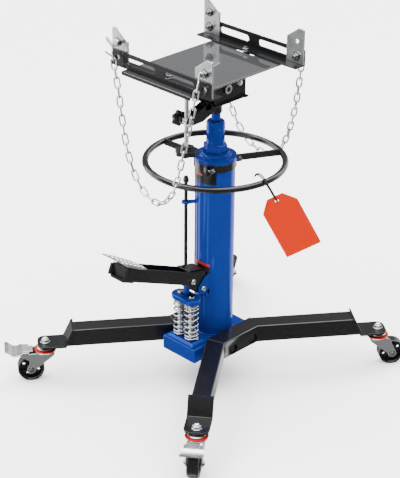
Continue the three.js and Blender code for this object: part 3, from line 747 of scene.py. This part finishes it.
def foot_plate():
    rows, cols = 26, 24
    verts, faces = [], []
    for top in (0, 1):
        for i in range(rows + 1):
            t = i / rows
            for j in range(cols + 1):
                v = 2 * j / cols - 1
                x = v * tread_half(t)
                y = -245 - 107 * t + 7 * t * v * v
                verts.append((x, y, tread_height(y) + 3 * top - 2.2 * v * v * t))
    w = cols + 1
    k = (rows + 1) * w
    for i in range(rows):
        for j in range(cols):
            a = i * w + j
            faces += [(a, a + w, a + w + 1, a + 1), (k + a, k + a + 1, k + a + w + 1, k + a + w)]
    rim = [i * w for i in range(rows + 1)] + [rows * w + j for j in range(1, w)]
    rim += [i * w + cols for i in range(rows - 1, -1, -1)] + list(range(cols - 1, 0, -1))
    for a, b in zip(rim, [*rim[1:], rim[0]]):
        faces.append((a, b, k + b, k + a))
    sheet = mesh_of(verts, faces)
    shapes = []
    for i in range(13):
        for j in range(-5, 6):
            t = (i + 0.7) / 13.4
            x = j * 9.6 + (4.8 if i % 2 else 0)
            v = x / tread_half(t)
            if abs(v) > 0.86:
                continue
            y = -245 - 107 * t + 7 * t * v * v
            z = tread_height(y) + 3 - 2.2 * v * v * t
            tilt = rotation(-0.12, "X")
            turn = rotation(PI / 4 if (i + j) % 2 else -PI / 4, "Z")
            lozenge = lathe([(0, 1.3), (2.8, 1.0), (4.8, -0.4), (0, -0.5)], 10)
            shapes.append(moved(lozenge, shift(x, y, z) @ tilt @ turn @ Matrix.Diagonal((1, 0.36, 1, 1))))
    prop = plate("x", [(-318, 52), (-250, 42.5), (-250, 41.5), (-318, 41.5)], -14, 14, bev=0.4)
    piece("tread_plate", "pedal", [(TREAD, [sheet]), (ZINC, shapes), (BLACK, [prop])], (), PEDAL_AT)


def release():
    rod = lathe([(0, 127), (5, 127.5), (5, 596), (7.4, 596), (8, 596.8), (8, 605), (7, 606), (6, 606.4),
                 (6, 610), (4.5, 612), (0, 612)], 40, at=RELEASE_AT)
    piece("release_valve_rod", "release", [(BLACK, [rod])], ["release_rod"])
    eye = ring(5.4, 12, 532, 538, 0.8, at=RELEASE_AT, seg=48)
    arm = moved(box(52, 72, -7, 7, 532, 538, 1), rotation(math.atan2(RELEASE_AT[1], RELEASE_AT[0]), "Z"))
    piece("release_rod_guide", "base", [(BLUE, [eye, arm])], ["rod_guide"])


# ---- undercarriage ----
LEG_X, LEG_HALF, LEG_BOLTS, LEG_BOLT_Z = 83, 26, (-30, 50), 126
STEM_X, STEM_Y, BEND_Y = 300, 364, 75
LEG_LOW, LEG_TOP = 108, 159
AXLE_X, AXLE_Z = 42, 37.5
LEG_DIR = Vector((STEM_X - LEG_X, STEM_Y - BEND_Y)).normalized()
LEG_TURN = math.atan2(LEG_DIR.y, LEG_DIR.x)
SIDES = [(-1, -1), (1, -1), (1, 1), (-1, 1)]


def stem_at(sx, sy):
    a = LEG_TURN if sy > 0 else -LEG_TURN
    return shift(sx * STEM_X, sy * STEM_Y, 0) @ rotation(a if sx > 0 else PI - a, "Z")


def leg_section(w, z0, z1, r, n=4):
    return soften([(-w, z0), (w, z0), (w, z1), (-w, z1)], r, n)


def leg_frame(sx, side, numbers):
    """Square tube with mitred bends: rings at the two slanted ends and the two mitre planes."""
    sec = leg_section(LEG_HALF, LEG_LOW, LEG_TOP, 4)
    d = LEG_DIR
    mitre = Vector((1, 0)) + Vector((d.y, -d.x))
    mitre = mitre / mitre.dot(Vector((1, 0)))
    rings = []
    for sy in (-1, 1):
        end = []
        for w, z in sec:
            u = -57.0 - (z - LEG_LOW) * 22.5 / 55
            along = Vector((STEM_X, STEM_Y)) + d * u
            q = along + Vector((d.y, -d.x)) * w
            end.append((q.x, sy * q.y, z))
        bend = [(LEG_X + mitre.x * w, sy * (BEND_Y + mitre.y * w), z) for w, z in sec]
        rings.append((end, bend))
    order = [rings[0][0], rings[0][1], rings[1][1], rings[1][0]]
    k = len(sec)
    verts = [v for r in order for v in r]
    faces = [(i * k + j, i * k + (j + 1) % k, (i + 1) * k + (j + 1) % k, (i + 1) * k + j)
             for i in range(3) for j in range(k)]
    faces += [tuple(range(k)), tuple(range(3 * k, 4 * k))]
    body = mesh_of(verts, faces)
    tools = [cyl("x", 15, 94, 122, y, LEG_BOLT_Z, 0.1, 48) for y in LEG_BOLTS]
    body = cut(body, *tools)
    shapes = [body]
    for y in LEG_BOLTS:
        shapes.append(ring(14.6, 16.6, 104, 109.8, 0.6, "x", (y, LEG_BOLT_Z), 48))
    for i in (1, 2):
        bead = [Vector(v) for v in order[i]]
        shapes.append(tube(bead, 1.1, 6, True, 0.35))
    for sy in (-1, 1):
        at = stem_at(1, sy)
        seam = [Vector(v) for v in (rings[0][0] if sy < 0 else rings[1][0])]
        shapes.append(tube(seam, 1.3, 6, True, 0.35))
        fold = soften([(-80, 163), (-74.6, 163), (-52, 114), (-40, 114), (-40, 108), (-57.5, 108)], 2.5,
                      4, only=(2, 5))
        slant = plate("y", fold, -34, 34, bev=0.9)
        tip = [(-41, -34), *arc(1, -14, 20, -PI / 2, 0, 10), *arc(1, 14, 20, 0, PI / 2, 10), (-41, 34)]
        foot = plate("z", tip, 108, 114, [circle(0, 0, 6.4)], bev=0.9)
        boss = ring(6.5, 19, 102, 108.6, 1.0, seg=64)
        shapes += [moved(s, at) for s in (slant, foot, boss)]
    flip = None if sx > 0 else Matrix.Scale(-1, 4, (1, 0, 0))
    if flip is not None:
        for s in shapes:
            moved(s, flip)
            bmesh.ops.reverse_faces(s, faces=s.faces)
    piece(f"bent_leg_{side}", "base", [(BLACK, shapes)], [f"leg_tube_{side}", *(f"leg_{n}" for n in numbers)])


def leg_bolts():
    for n, y in enumerate(LEG_BOLTS):
        z = LEG_BOLT_Z
        shapes = [cyl("x", 8, -95, 95, y, z)]
        for s in (-1, 1):
            shapes.append(cyl("x", 13.5, s * 94.3, s * 96.6, y, z, 0.6))
            shapes.append(hexa("x", 12, s * 96.4, s * 106.2, y, z, bev=1.4))
        piece(f"leg_screw_{n + 1}", "base", [(BLACK, shapes)], [f"leg_bolt_{n + 1}"])


def caster_stem(n, at):
    thread = [(0, 84), (6, 84)]
    z = 86.0
    while z < 128:
        thread += [(5.4, z), (6, z + 0.85)]
        z += 1.7
    thread += [(5.4, 128.4), (3.8, 129.4), (0, 129.6)]
    nut = [hexa("z", 11, 116.3, 124, bev=1.5), ring(6, 13.5, 114.3, 116.4, 0.4, seg=48),
           ring(6.4, 8.2, 123.8, 125.2, 0.4, seg=40)]
    race = [(0, 95.3), (22.5, 95.3), (24, 96.3), (24, 99.4), (21.5, 101.2), (12, 101.7), (0, 101.7)]
    low = cyl("z", 9, 82, 84.6, ch=0.8)
    bright, dull = [lathe(thread, 28), *nut], [lathe(race, 64), low]
    piece(f"caster_pin_{n}", "base", [(CHROME, bright), (ZINC, dull)], [f"caster_stem_{n}"], at)
    seal = [(12, 92.2), (29.2, 92.2), (30.8, 92.8), (31.2, 93.6), (30.6, 94.6), (28.8, 95.1), (12, 95.1)]
    piece(f"caster_seal_{n}", f"fork_{n}", [(SEAL, [lathe(seal, 72, closed=True)])], (), at)


def caster_fork(n, at, brake):
    ear = [(60, 88.6), (68, 87), (69, 80), (63, 76.5), (48, 68), (45, 61)] if brake else [(33, 84)]
    prof = [(-27, 89), (27, 89), *ear, (54, 40), *arc(AXLE_X, AXLE_Z, 12, 0, -PI, 16), (-22, 80)]
    prof = soften(prof, 3, 3)
    crown = [(6.4, 88.6), (12.5, 88.6), (13.2, 88), (28.4, 86), (29.4, 86.8), (29.4, 89), (27.5, 91.4),
             (25, 92), (6.4, 92)]
    shapes = [lathe(crown, 72, closed=True)]
    for y in (-22, 19.5):
        shapes.append(plate("y", prof, y, y + 2.5, [circle(64, 84, 3.2, 20)] if brake else (), bev=0.6))
    shapes.append(box(-24, 26, -21.7, 21.7, 86.4, 89.4, 1.2))
    axle = [cyl("y", 5, -25, 25, AXLE_X, AXLE_Z, 0.5)]
    for s in (-1, 1):
        axle += bolt_head("y", 8, s * 22, s * 26.4, AXLE_X, AXLE_Z)
        axle.append(cyl("y", 9.2, s * 21.9, s * 22.9, AXLE_X, AXLE_Z, 0.3))
        axle.append(cyl("y", 5, s * 25, s * 28, AXLE_X, AXLE_Z, 1.0, 24))
    piece(f"fork_body_{n}", f"fork_{n}", [(ZINC, shapes), (BOLT, axle)], [f"caster_fork_{n}"], at)


def wheel(n, at):
    half = [(31, 12.6), (33, 15), (35.2, 15.9), (36.6, 15.4), (37.4, 13.4), (37.5, 11)]
    tread = [(r, -y) for r, y in half] + half[::-1]
    hub = [(5.3, -17.5), (11.6, -17.5), (13, -16.3), (14, -9), (14, 9), (13, 16.3), (11.6, 17.5), (5.3, 17.5)]
    angles = [0.45 + k * PI / 2 for k in range(4)]
    holes = [circle(22.5 * math.cos(t), 22.5 * math.sin(t), 4.6, 24) for t in angles]
    web = plate("y", circle(0, 0, 32, 64), -4, 4, [circle(0, 0, 12, 40), *holes], bev=0.6)
    shapes = [lathe(tread, 96, "y", closed=True), lathe(hub, 48, "y", closed=True), web]
    for t in angles:
        rib = box(12, 32, -1.2, 1.2, -10, 10, 0.5)
        moved(rib, rotation(-t - PI / 4, "Y") @ rotation(PI / 2, "X"))
        shapes.append(rib)
    for s in shapes:
        moved(s, shift(AXLE_X, 0, AXLE_Z))
    piece(f"wheel_body_{n}", f"wheel_{n}", [(WHEEL, shapes)], [f"wheel_{n}"], at)


def brake(n, at):
    top = [(36, 95.5), (58, 95.8), (66, 95.2), (72, 92.8), (78, 90.7), (86, 90.2), (92, 92), (98, 97.6),
           (103, 101.8), (108, 104), (113, 105)]
    under = [(113.6, 102.4), (108.8, 101.4), (104.4, 99.3), (99.6, 95.2), (93.4, 89.4), (86.4, 87.3),
             (77.4, 87.8), (70.8, 90), (65.4, 92.3), (58, 92.8), (36, 92.5)]
    heel = [p for p in top if p[0] <= 66] + [p for p in under if p[0] <= 66]
    toe = [p for p in top if p[0] >= 66] + [p for p in under if p[0] >= 65]
    shapes = [plate("y", heel, -15.4, 15.4, bev=0.8), plate("y", toe, -30, 30, bev=0.9)]
    wing = soften([(47, 95.2), (66, 95.2), (74, 92), (74, 88), (64, 78.5), (53, 81), (47, 90)], 2, 3)
    shapes += [plate("y", wing, -25.5, -22.5, bev=0.7), plate("y", wing, 22.5, 25.5, bev=0.7),
               box(47, 66, -25.2, 25.2, 92.5, 95.4, 0.8)]
    shapes.append(cyl("y", 3, -26.4, 26.4, 64, 84, 0.4, 24))
    piece(f"brake_pedal_{n}", f"brake_{n}", [(ZINC, shapes)], [f"brake_lever_{n}"], at)


# ---- ring handle ----
RING_R, RING_Z = 187, 653
SPOKES = [math.radians(d) for d in (182, 62)]


def handle():
    band = [ring(54.3, 57.6, 640, 660.5, 0.6, seg=128)]
    bolts = []
    for t in SPOKES:
        turn = rotation(t, "Z")
        band.append(moved(box(56, 74, -3.5, 0, 642, 660, 0.7), turn))
        parts = bolt_head("y", 6.5, -3.6, -8.6, 67, 651, 8)
        parts += [cyl("y", 3.2, -11, 10, 67, 651, 0.4, 24), hexa("y", 6.5, 6.4, 10.5, 67, 651)]
        for s in parts:
            bolts.append(moved(s, turn))
    turn = rotation(math.radians(-59), "Z")
    for s in (box(56, 74, -8, -3, 636, 660.5, 1), box(56, 74, 3, 8, 636, 660.5, 1)):
        band.append(moved(s, turn))
    parts = bolt_head("y", 7, -8, -13.5, 66, 650, 8.5) + bolt_head("y", 7, 8, 13, 66, 650, 8.5)
    parts.append(cyl("y", 4, -12, 15.5, 66, 650, 0.5, 24))
    for s in parts:
        bolts.append(moved(s, turn))
    piece("clamp_ring", "base", [(BLACK, band), (BOLT, bolts)], ["clamp_band"])
    hoop = [tube(loop_at(RING_R, RING_Z, 160), 8.4, 24, True)]
    for t in SPOKES:
        turn = rotation(t, "Z")
        hoop.append(moved(box(60, 183, 0.3, 6.3, 643, 661, 1.0), turn))
        bead = [(179.5, 0.2 + 6.2 * math.cos(a) * 0.5 + 3, 652 + 9.5 * math.sin(a))
                for a in [2 * PI * k / 20 for k in range(20)]]
        hoop.append(moved(tube(bead, 1.6, 6, True, 0.3), turn))
    piece("hoop_handle", "base", [(BLACK, hoop)], ["ring_handle"])


# ---- saddle ----
PIVOT_Z, CROSS_Z = 868, 898
SCREW_Y, TRUNNION_Z = -108, 797


def saddle():
    wall = soften(rect(-42, 72, 832, 889), 4, only=(2, 3))
    arm = [(-8, 830), (-42, 830), (-100, 812), *arc(SCREW_Y, TRUNNION_Z, 12, 1.0, 4.6, 18), (-60, 786),
           (-10, 806)]
    black = [lathe([(12.9, 792), (15.7, 792), (16.5, 792.8), (16.5, 826), (18.6, 829), (12.9, 829)], 64,
                   closed=True), plate("z", soften(rect(-44, 44, -42, 72), 2), 828, 833, bev=0.9),
             *pair("x", wall, 34, 38, [circle(0, PIVOT_Z, 10.3, 40)]), *pair("x", arm, 10, 14),
             box(-14, 14, -52, -30, 812, 829, 1.2), box(37, 47, 60, 74, 828, 833, 0.9),
             box(-47, -37, 60, 74, 828, 833, 0.9)]
    for x in (38.6, -38.6):
        black.append(tube([(x, -40 + 4 * k, 833.4) for k in range(28)], 1.6, 8, rough=0.3))
    chrome = []
    for s in (-1, 1):
        a = s * 38
        head = [(0, a), (8.6, a), (8.6, a + s * 1.6), (7.4, a + s * 4.2), (4.4, a + s * 5.8),
                (0, a + s * 6.4)]
        chrome.append(lathe(head, 36, "x", (47, 872)))
        chrome.append(cyl("x", 5, a, a - s * 5.5, 47, 872, 0.4, 24))
    piece("saddle_channel", "saddle", [(BLACK, black), (ZINC, chrome)], ["saddle_base"])
    sleeve = [lathe([(6.5, -46), (12, -46), (12.5, -45.5), (12.5, -43.4), (10, -43), (10, 43),
                     (12.5, 43.4), (12.5, 45.5), (12, 46), (6.5, 46)], 56, "x", (0, PIVOT_Z), closed=True)]
    piece("pivot_tube", "saddle", [(ZINC, sleeve)], ["pivot_pin_1"])
    trunnion = [cyl("x", 9, -9.7, 9.7, SCREW_Y, TRUNNION_Z, 0.8),
                cyl("x", 5, -28, 17, SCREW_Y, TRUNNION_Z, 0.4, 24),
                hexa("x", 8, 14.3, 19.4, SCREW_Y, TRUNNION_Z)]
    piece("screw_block", "saddle", [(ZINC, trunnion)], ["screw_trunnion"])
    lug = [(-18, 883), (18, 883), (18, 860), *arc(0, PIVOT_Z, 15, -0.5, -2.64, 16), (-18, 860)]
    end = [(-22, 881), (22, 881), (22, CROSS_Z), *arc(0, CROSS_Z, 10.2, 0.4, 2.74, 16), (-22, CROSS_Z)]
    tongue = [(-18, -57), (18, -57), *arc(0, SCREW_Y, 18, 0, -PI, 24)]
    head = [plate("z", soften(rect(-31, 31, -60, 60), 1.5), 879, 883, bev=0.8),
            *pair("x", lug, 27, 31, [circle(0, PIVOT_Z, 10.3, 40)]),
            *pair("y", end, 56, 60),
            plate("z", tongue, 879, 883, [circle(0, SCREW_Y, 9, 32)], bev=0.8)]
    piece("tilt_head", "head", [(BLACK, head)], ["saddle_head"])
    pin = [cyl("y", 7, -69, 69, 0, CROSS_Z, 0.5)]
    for s in (-1, 1):
        a = s * 68
        pin.append(lathe([(0, a), (9.5, a), (9.5, a + s * 1.6), (8.2, a + s * 2.8), (0, a + s * 3.2)], 36,
                         "y", (0, CROSS_Z)))
    piece("cross_pivot", "head", [(ZINC, pin)], ["pivot_pin_2"])


def threaded(r, z0, z1, pitch, depth, seg=28):
    """Rod with a helical thread cut along it."""
    steps = int((z1 - z0) / pitch * 4)
    verts, faces = [], []
    for i in range(steps + 1):
        z = z0 + (z1 - z0) * i / steps
        for j in range(seg):
            t = 2 * PI * j / seg
            ph = ((z - z0) / pitch - t / (2 * PI)) % 1
            k = r - depth * (1 - abs(2 * ph - 1))
            verts.append((k * math.cos(t), k * math.sin(t), z))
    for i in range(steps):
        for j in range(seg):
            a, b = i * seg, (i + 1) * seg
            faces.append((a + j, a + (j + 1) % seg, b + (j + 1) % seg, b + j))
    faces += [tuple(range(seg)), tuple(range(steps * seg, steps * seg + seg))]
    return mesh_of(verts, faces)


def star(r, lobes, h, axis_turn, name, body, replaces, at):
    pts = []
    for i in range(lobes * 16):
        t = 2 * PI * i / (lobes * 16)
        k = r - 2.4 + 2.4 * math.cos(lobes * t)
        pts.append((k * math.cos(t), k * math.sin(t)))
    inner = [(x * 0.78, y * 0.78) for x, y in pts]
    shapes = [plate("z", pts, 0, h, bev=2.6, res=4), plate("z", inner, h - 1, h + 2.4, bev=1.6, res=3),
              lathe([(0, h - 1), (r * 0.47, h - 1), (r * 0.45, h + 7.6), (r * 0.4, h + 9), (0, h + 9)], 48),
              lathe([(0, -0.02), (r * 0.5, -0.4), (r * 0.44, -1.4), (0, -1.8)], 48)]
    for s in shapes:
        moved(s, axis_turn)
    piece(name, body, [(PLASTIC, shapes)], replaces, at)


def screw():
    s = [threaded(6, 716.5, 891.6, 2.5, 0.75)]
    for z in (873, 885):
        s += [hexa("z", 11, z, z + 4, 0, 0, bev=0.9)]
    s.append(ring(5, 10.6, 884.0, 885.0, 0.3, seg=40))
    for b in s:
        moved(b, shift(0, SCREW_Y, 0))
    piece("height_screw", "screw", [(CHROME, s)], ["adjust_screw"])
    star(31, 7, 16, Matrix.Identity(4), "height_knob", "knob", ["adjust_knob"], shift(0, SCREW_Y, 704))
    star(22, 6, 12, rotation(PI / 2, "Y"), "clamp_knob", "lock", ["lock_knob"],
         shift(-36.5, SCREW_Y, TRUNNION_Z))


# ---- tray ----
RAIL_BOLT_Y = 141
TRAY_AT = shift(-30, 0, 0)


def tray():
    holes = [slot(0, y, 30, 6.5) for y in (-RAIL_BOLT_Y, RAIL_BOLT_Y)]
    bed = plate("z", soften(rect(-125, 125, -192, 192), 2), 909, 914, holes, bev=1.2, res=3)
    shapes = [box(-125, 125, -192.3, -188.4, 904, 913, 1.2), box(-125, 125, 188.4, 192.3, 904, 913, 1.2)]
    lug = [(8, 910), (52, 910), (52, 898), *arc(30, 898, 14, -0.3, -2.84, 18), (8, 898)]
    shapes += [*pair("y", lug, 62, 66, [circle(30, 898, 7.3)])]
    piece("load_tray", "tray", [(TRAY, [bed]), (BLACK, shapes)], ["tray_plate"], TRAY_AT)


def rail(s, n):
    z0 = 914.3
    wall = soften(rect(-181, 181, z0, z0 + 44), 3, only=(2, 3))
    holes = [slot(x, z0 + 24, 43.5, 9) for x in (-70, 70)] + [circle(x, z0 + 24, 8) for x in (-158, 158)]
    y0, y1 = sorted((s * 171, s * 175))
    f0, f1 = sorted((s * 174.6, s * 137))
    shapes = [plate("y", wall, y0, y1, holes, bev=0.8), plate("z", soften(rect(-181, 181, f0, f1), 3), z0,
                                                              z0 + 4, [circle(0, s * RAIL_BOLT_Y, 6.6)],
                                                              bev=0.8)]
    piece(f"slotted_rail_{n}", "tray", [(BLACK, shapes)], [f"rail_{n}"], TRAY_AT)
    p = [hexa("z", 9.5, 919.4, 925.6, bev=1.2), ring(5, 9.8, 918.3, 919.6, 0.3, seg=40),
         threaded(5, 900, 930, 1.75, 0.5, 24), ring(5, 12, 907.3, 908.9, 0.3, seg=40),
         hexa("z", 9.5, 900.6, 907.4, bev=1.2)]
    piece(f"rail_bolt_{n}", "tray", [(BOLT, p)], (), shift(-30, s * RAIL_BOLT_Y, 0))


def bracket(i, ex, s, heights):
    z0 = 918.6
    o, e = ex * 181, ex * 122

    def span(near, far):
        return (173 + near, 173 + far) if s > 0 else (-173 - far, -173 - near)

    y0, y1 = span(-7.3, -2.3)
    outline = soften([(o, z0), (o, z0 + 96), (o - ex * 20, z0 + 96), (e, z0 + 68), (e, z0)], 5, 5,
                     only=(1, 2, 3))
    holes = [] if 61 in heights else [circle(ex * 158, z0 + 61, 5.5)]
    shapes = [plate("y", outline, y0, y1, holes, bev=0.8)]
    bolts = []
    for h in heights:
        x, z = ex * 158, z0 + h
        high = h > 45
        near, far = (-2.4, 7.4) if high else (2.1, 9.6)
        for a, b in ((-15.2, -8.4), (near + 1.6, far)):
            bolts.append(hexa("y", 10.5, *span(a, b), x, z, bev=1.2))
        for a, b in ((-8.4, -7.2), (near, near + 1.6)):
            bolts.append(cyl("y", 13, *span(a, b), x, z, 0.3))
        a, b = span(-21, 15)
        m = shift(x, a, z) @ rotation(-PI / 2, "X")
        bolts.append(moved(threaded(5.2, 0, b - a, 1.75, 0.5, 24), m))
    piece(f"stop_bracket_{i}", "tray", [(ZINC, shapes), (BOLT, bolts)], [f"corner_bracket_{i}"], TRAY_AT)


# ---- chains and tag ----
CHAIN_1 = [(-188, -192, 962), (-178, -193, 910), (-160, -198, 860), (-136, -207, 780), (-106, -215, 700),
           (-70, -218, 640), (-28, -218, 606), (17, -218, 603), (57, -218, 640), (79, -215, 700),
           (94, -206, 790), (110, -197, 880), (126, -192, 962)]
CHAIN_2 = [(126, 194, 934), (114, 199, 870), (95, 208, 780), (66, 216, 690), (34, 219, 630),
           (-20, 219, 600), (-74, 219, 612), (-120, 216, 655), (-152, 210, 720), (-174, 204, 800),
           (-188, 197, 880), (-188, 192, 962)]


def chain(points, name, node):
    pitch, wire, half_w = 24.5, 2.2, 6.6
    dense = smooth_path(points, 400)
    length = sum((b - a).length for a, b in zip(dense, dense[1:]))
    count = round(length / pitch)
    pts = smooth_path(points, count + 1)
    straight = (pitch + 2 * wire) / 2 - half_w + 0.4
    shapes = []
    for i in range(count):
        a, b = pts[i], pts[i + 1]
        t = (b - a).normalized()
        side = t.cross(Vector((0, 1, 0.1))).normalized()
        up = t.cross(side)
        k = PI / 4 + (PI / 2 if i % 2 else 0) + rng.uniform(-0.16, 0.16)
        w = side * math.cos(k) + up * math.sin(k)
        mid = (a + b) / 2
        loop = [mid + t * (straight + half_w * math.cos(q)) + w * (half_w * math.sin(q))
                for q in [-PI / 2 + PI * j / 8 for j in range(9)]]
        loop += [mid - t * (straight + half_w * math.cos(q)) - w * (half_w * math.sin(q))
                 for q in [-PI / 2 + PI * j / 8 for j in range(9)]]
        shapes.append(tube(loop, wire, 8, True))
    return piece(name, "tray", [(ZINC, shapes)], [node])


def hook(name, end, toward, side):
    """Open hook that joins a chain's last link to the bracket's bolt."""
    e, t = Vector(end), Vector(toward)
    y = Vector((0, side, 0))
    path = [e - y * 1 + Vector((0, 0, -4)), e + Vector((0, 0, 3)), e.lerp(t, 0.5) + y * 4,
            t + y * 6 + Vector((0, 0, 7)), t + y * 2 + Vector((5, 0, 8)), t + Vector((8, 0, 0)),
            t + Vector((4, 0, -7))]
    piece(name, "tray", [(ZINC, [tube(smooth_path(path, 40), 2.2, 8)])])


def hooks():
    hook("chain_hook_1", (-188, -192, 958), (-188, -183, 979), -1)
    hook("chain_hook_2", (126, -192, 958), (128, -184, 978), -1)
    hook("chain_hook_3", (126, 194, 932), (128, 184, 940), 1)
    hook("chain_hook_4", (-188, 192, 958), (-188, 184, 978), 1)
    wings = [lathe([(0, -196), (6.5, -196), (8, -190), (8, -188), (0, -188)], 24, "y", (-188, 979))]
    for s in (-1, 1):
        blade = soften([(0, -5), (19, 2), (24, 12), (16, 17), (3, 7)], 3)
        wings.append(plate("y", [(-188 + s * u, 979 + v) for u, v in blade], -194.5, -191.5, bev=0.9))
    piece("wing_nut", "tray", [(ZINC, wings)])
    tail = [(-184, -190, 943), (-190, -197, 949), (-199, -206, 959)]
    piece("wire_tail", "tray", [(ZINC, [tube(smooth_path(tail, 16), 2.4, 8)])])


def tag():
    at = shift(232, 36, 545) @ rotation(PI / 4, "Z") @ rotation(PI / 2, "X")
    at = at @ rotation(math.radians(28), "Z")
    pts = soften([(-50, -98), (50, -98), (50, 45), (22, 78), (-22, 78), (-50, 45)], 4, 4)
    eye = ring(5, 7.2, -0.4, 2.4, 0.3, at=(0, 64), seg=40)
    card = piece("blank_tag", "base", [(CARD, [plate("z", pts, 0, 2, [circle(0, 64, 5)], bev=0.3)]),
                                       (CARD, [eye])], ["hang_tag"], at)
    card.visible_glossy = False
    hole = at @ Vector((0, 64, 1))
    a = math.radians(-4)
    out = Vector((math.cos(a), math.sin(a), 0))
    across = Vector((-math.sin(a), math.cos(a), 0))
    up = Vector((0, 0, 1))
    top = out * RING_R + up * RING_Z

    def point(o, u, k):
        return top + out * o + up * u + across * k

    half = [point(-31, 8, 0.8), point(-25, 17, 3.4), point(-10, 17, 3.2), point(3, 10.9, 2.4),
            point(10.9, 4, 2.0)]
    path = [*half, hole + across * 1.6, hole - across * 1.6]
    path += [p - across * (2 * (p - top).dot(across)) for p in reversed(half)]
    piece("tag_string", "base", [(THREAD, [tube(smooth_path(path, 120), 1.8, 8)])], ())


# ---- build ----
block()
tank()
labels()
pump()
lugs()
pedal()
foot_plate()
release()
leg_frame(1, 1, (2, 3))
leg_frame(-1, 2, (1, 4))
leg_bolts()
for index, (px, py) in enumerate(SIDES):
    num = index + 1
    place = stem_at(px, py)
    caster_stem(num, place)
    caster_fork(num, place, num <= 2)
    wheel(num, place)
    if num <= 2:
        brake(num, place)
handle()
saddle()
screw()
tray()
rail(-1, 1)
rail(1, 2)
for index, (end, side, holes) in enumerate([(-1, -1, [61]), (1, -1, [61]), (1, 1, [20]), (-1, 1, [20, 61])]):
    bracket(index + 1, end, side, holes)
chain(CHAIN_1, "safety_chain_1", "chain_1")
chain(CHAIN_2, "safety_chain_2", "chain_2")
hooks()
tag()
dress("inner_cylinder", CHROME)
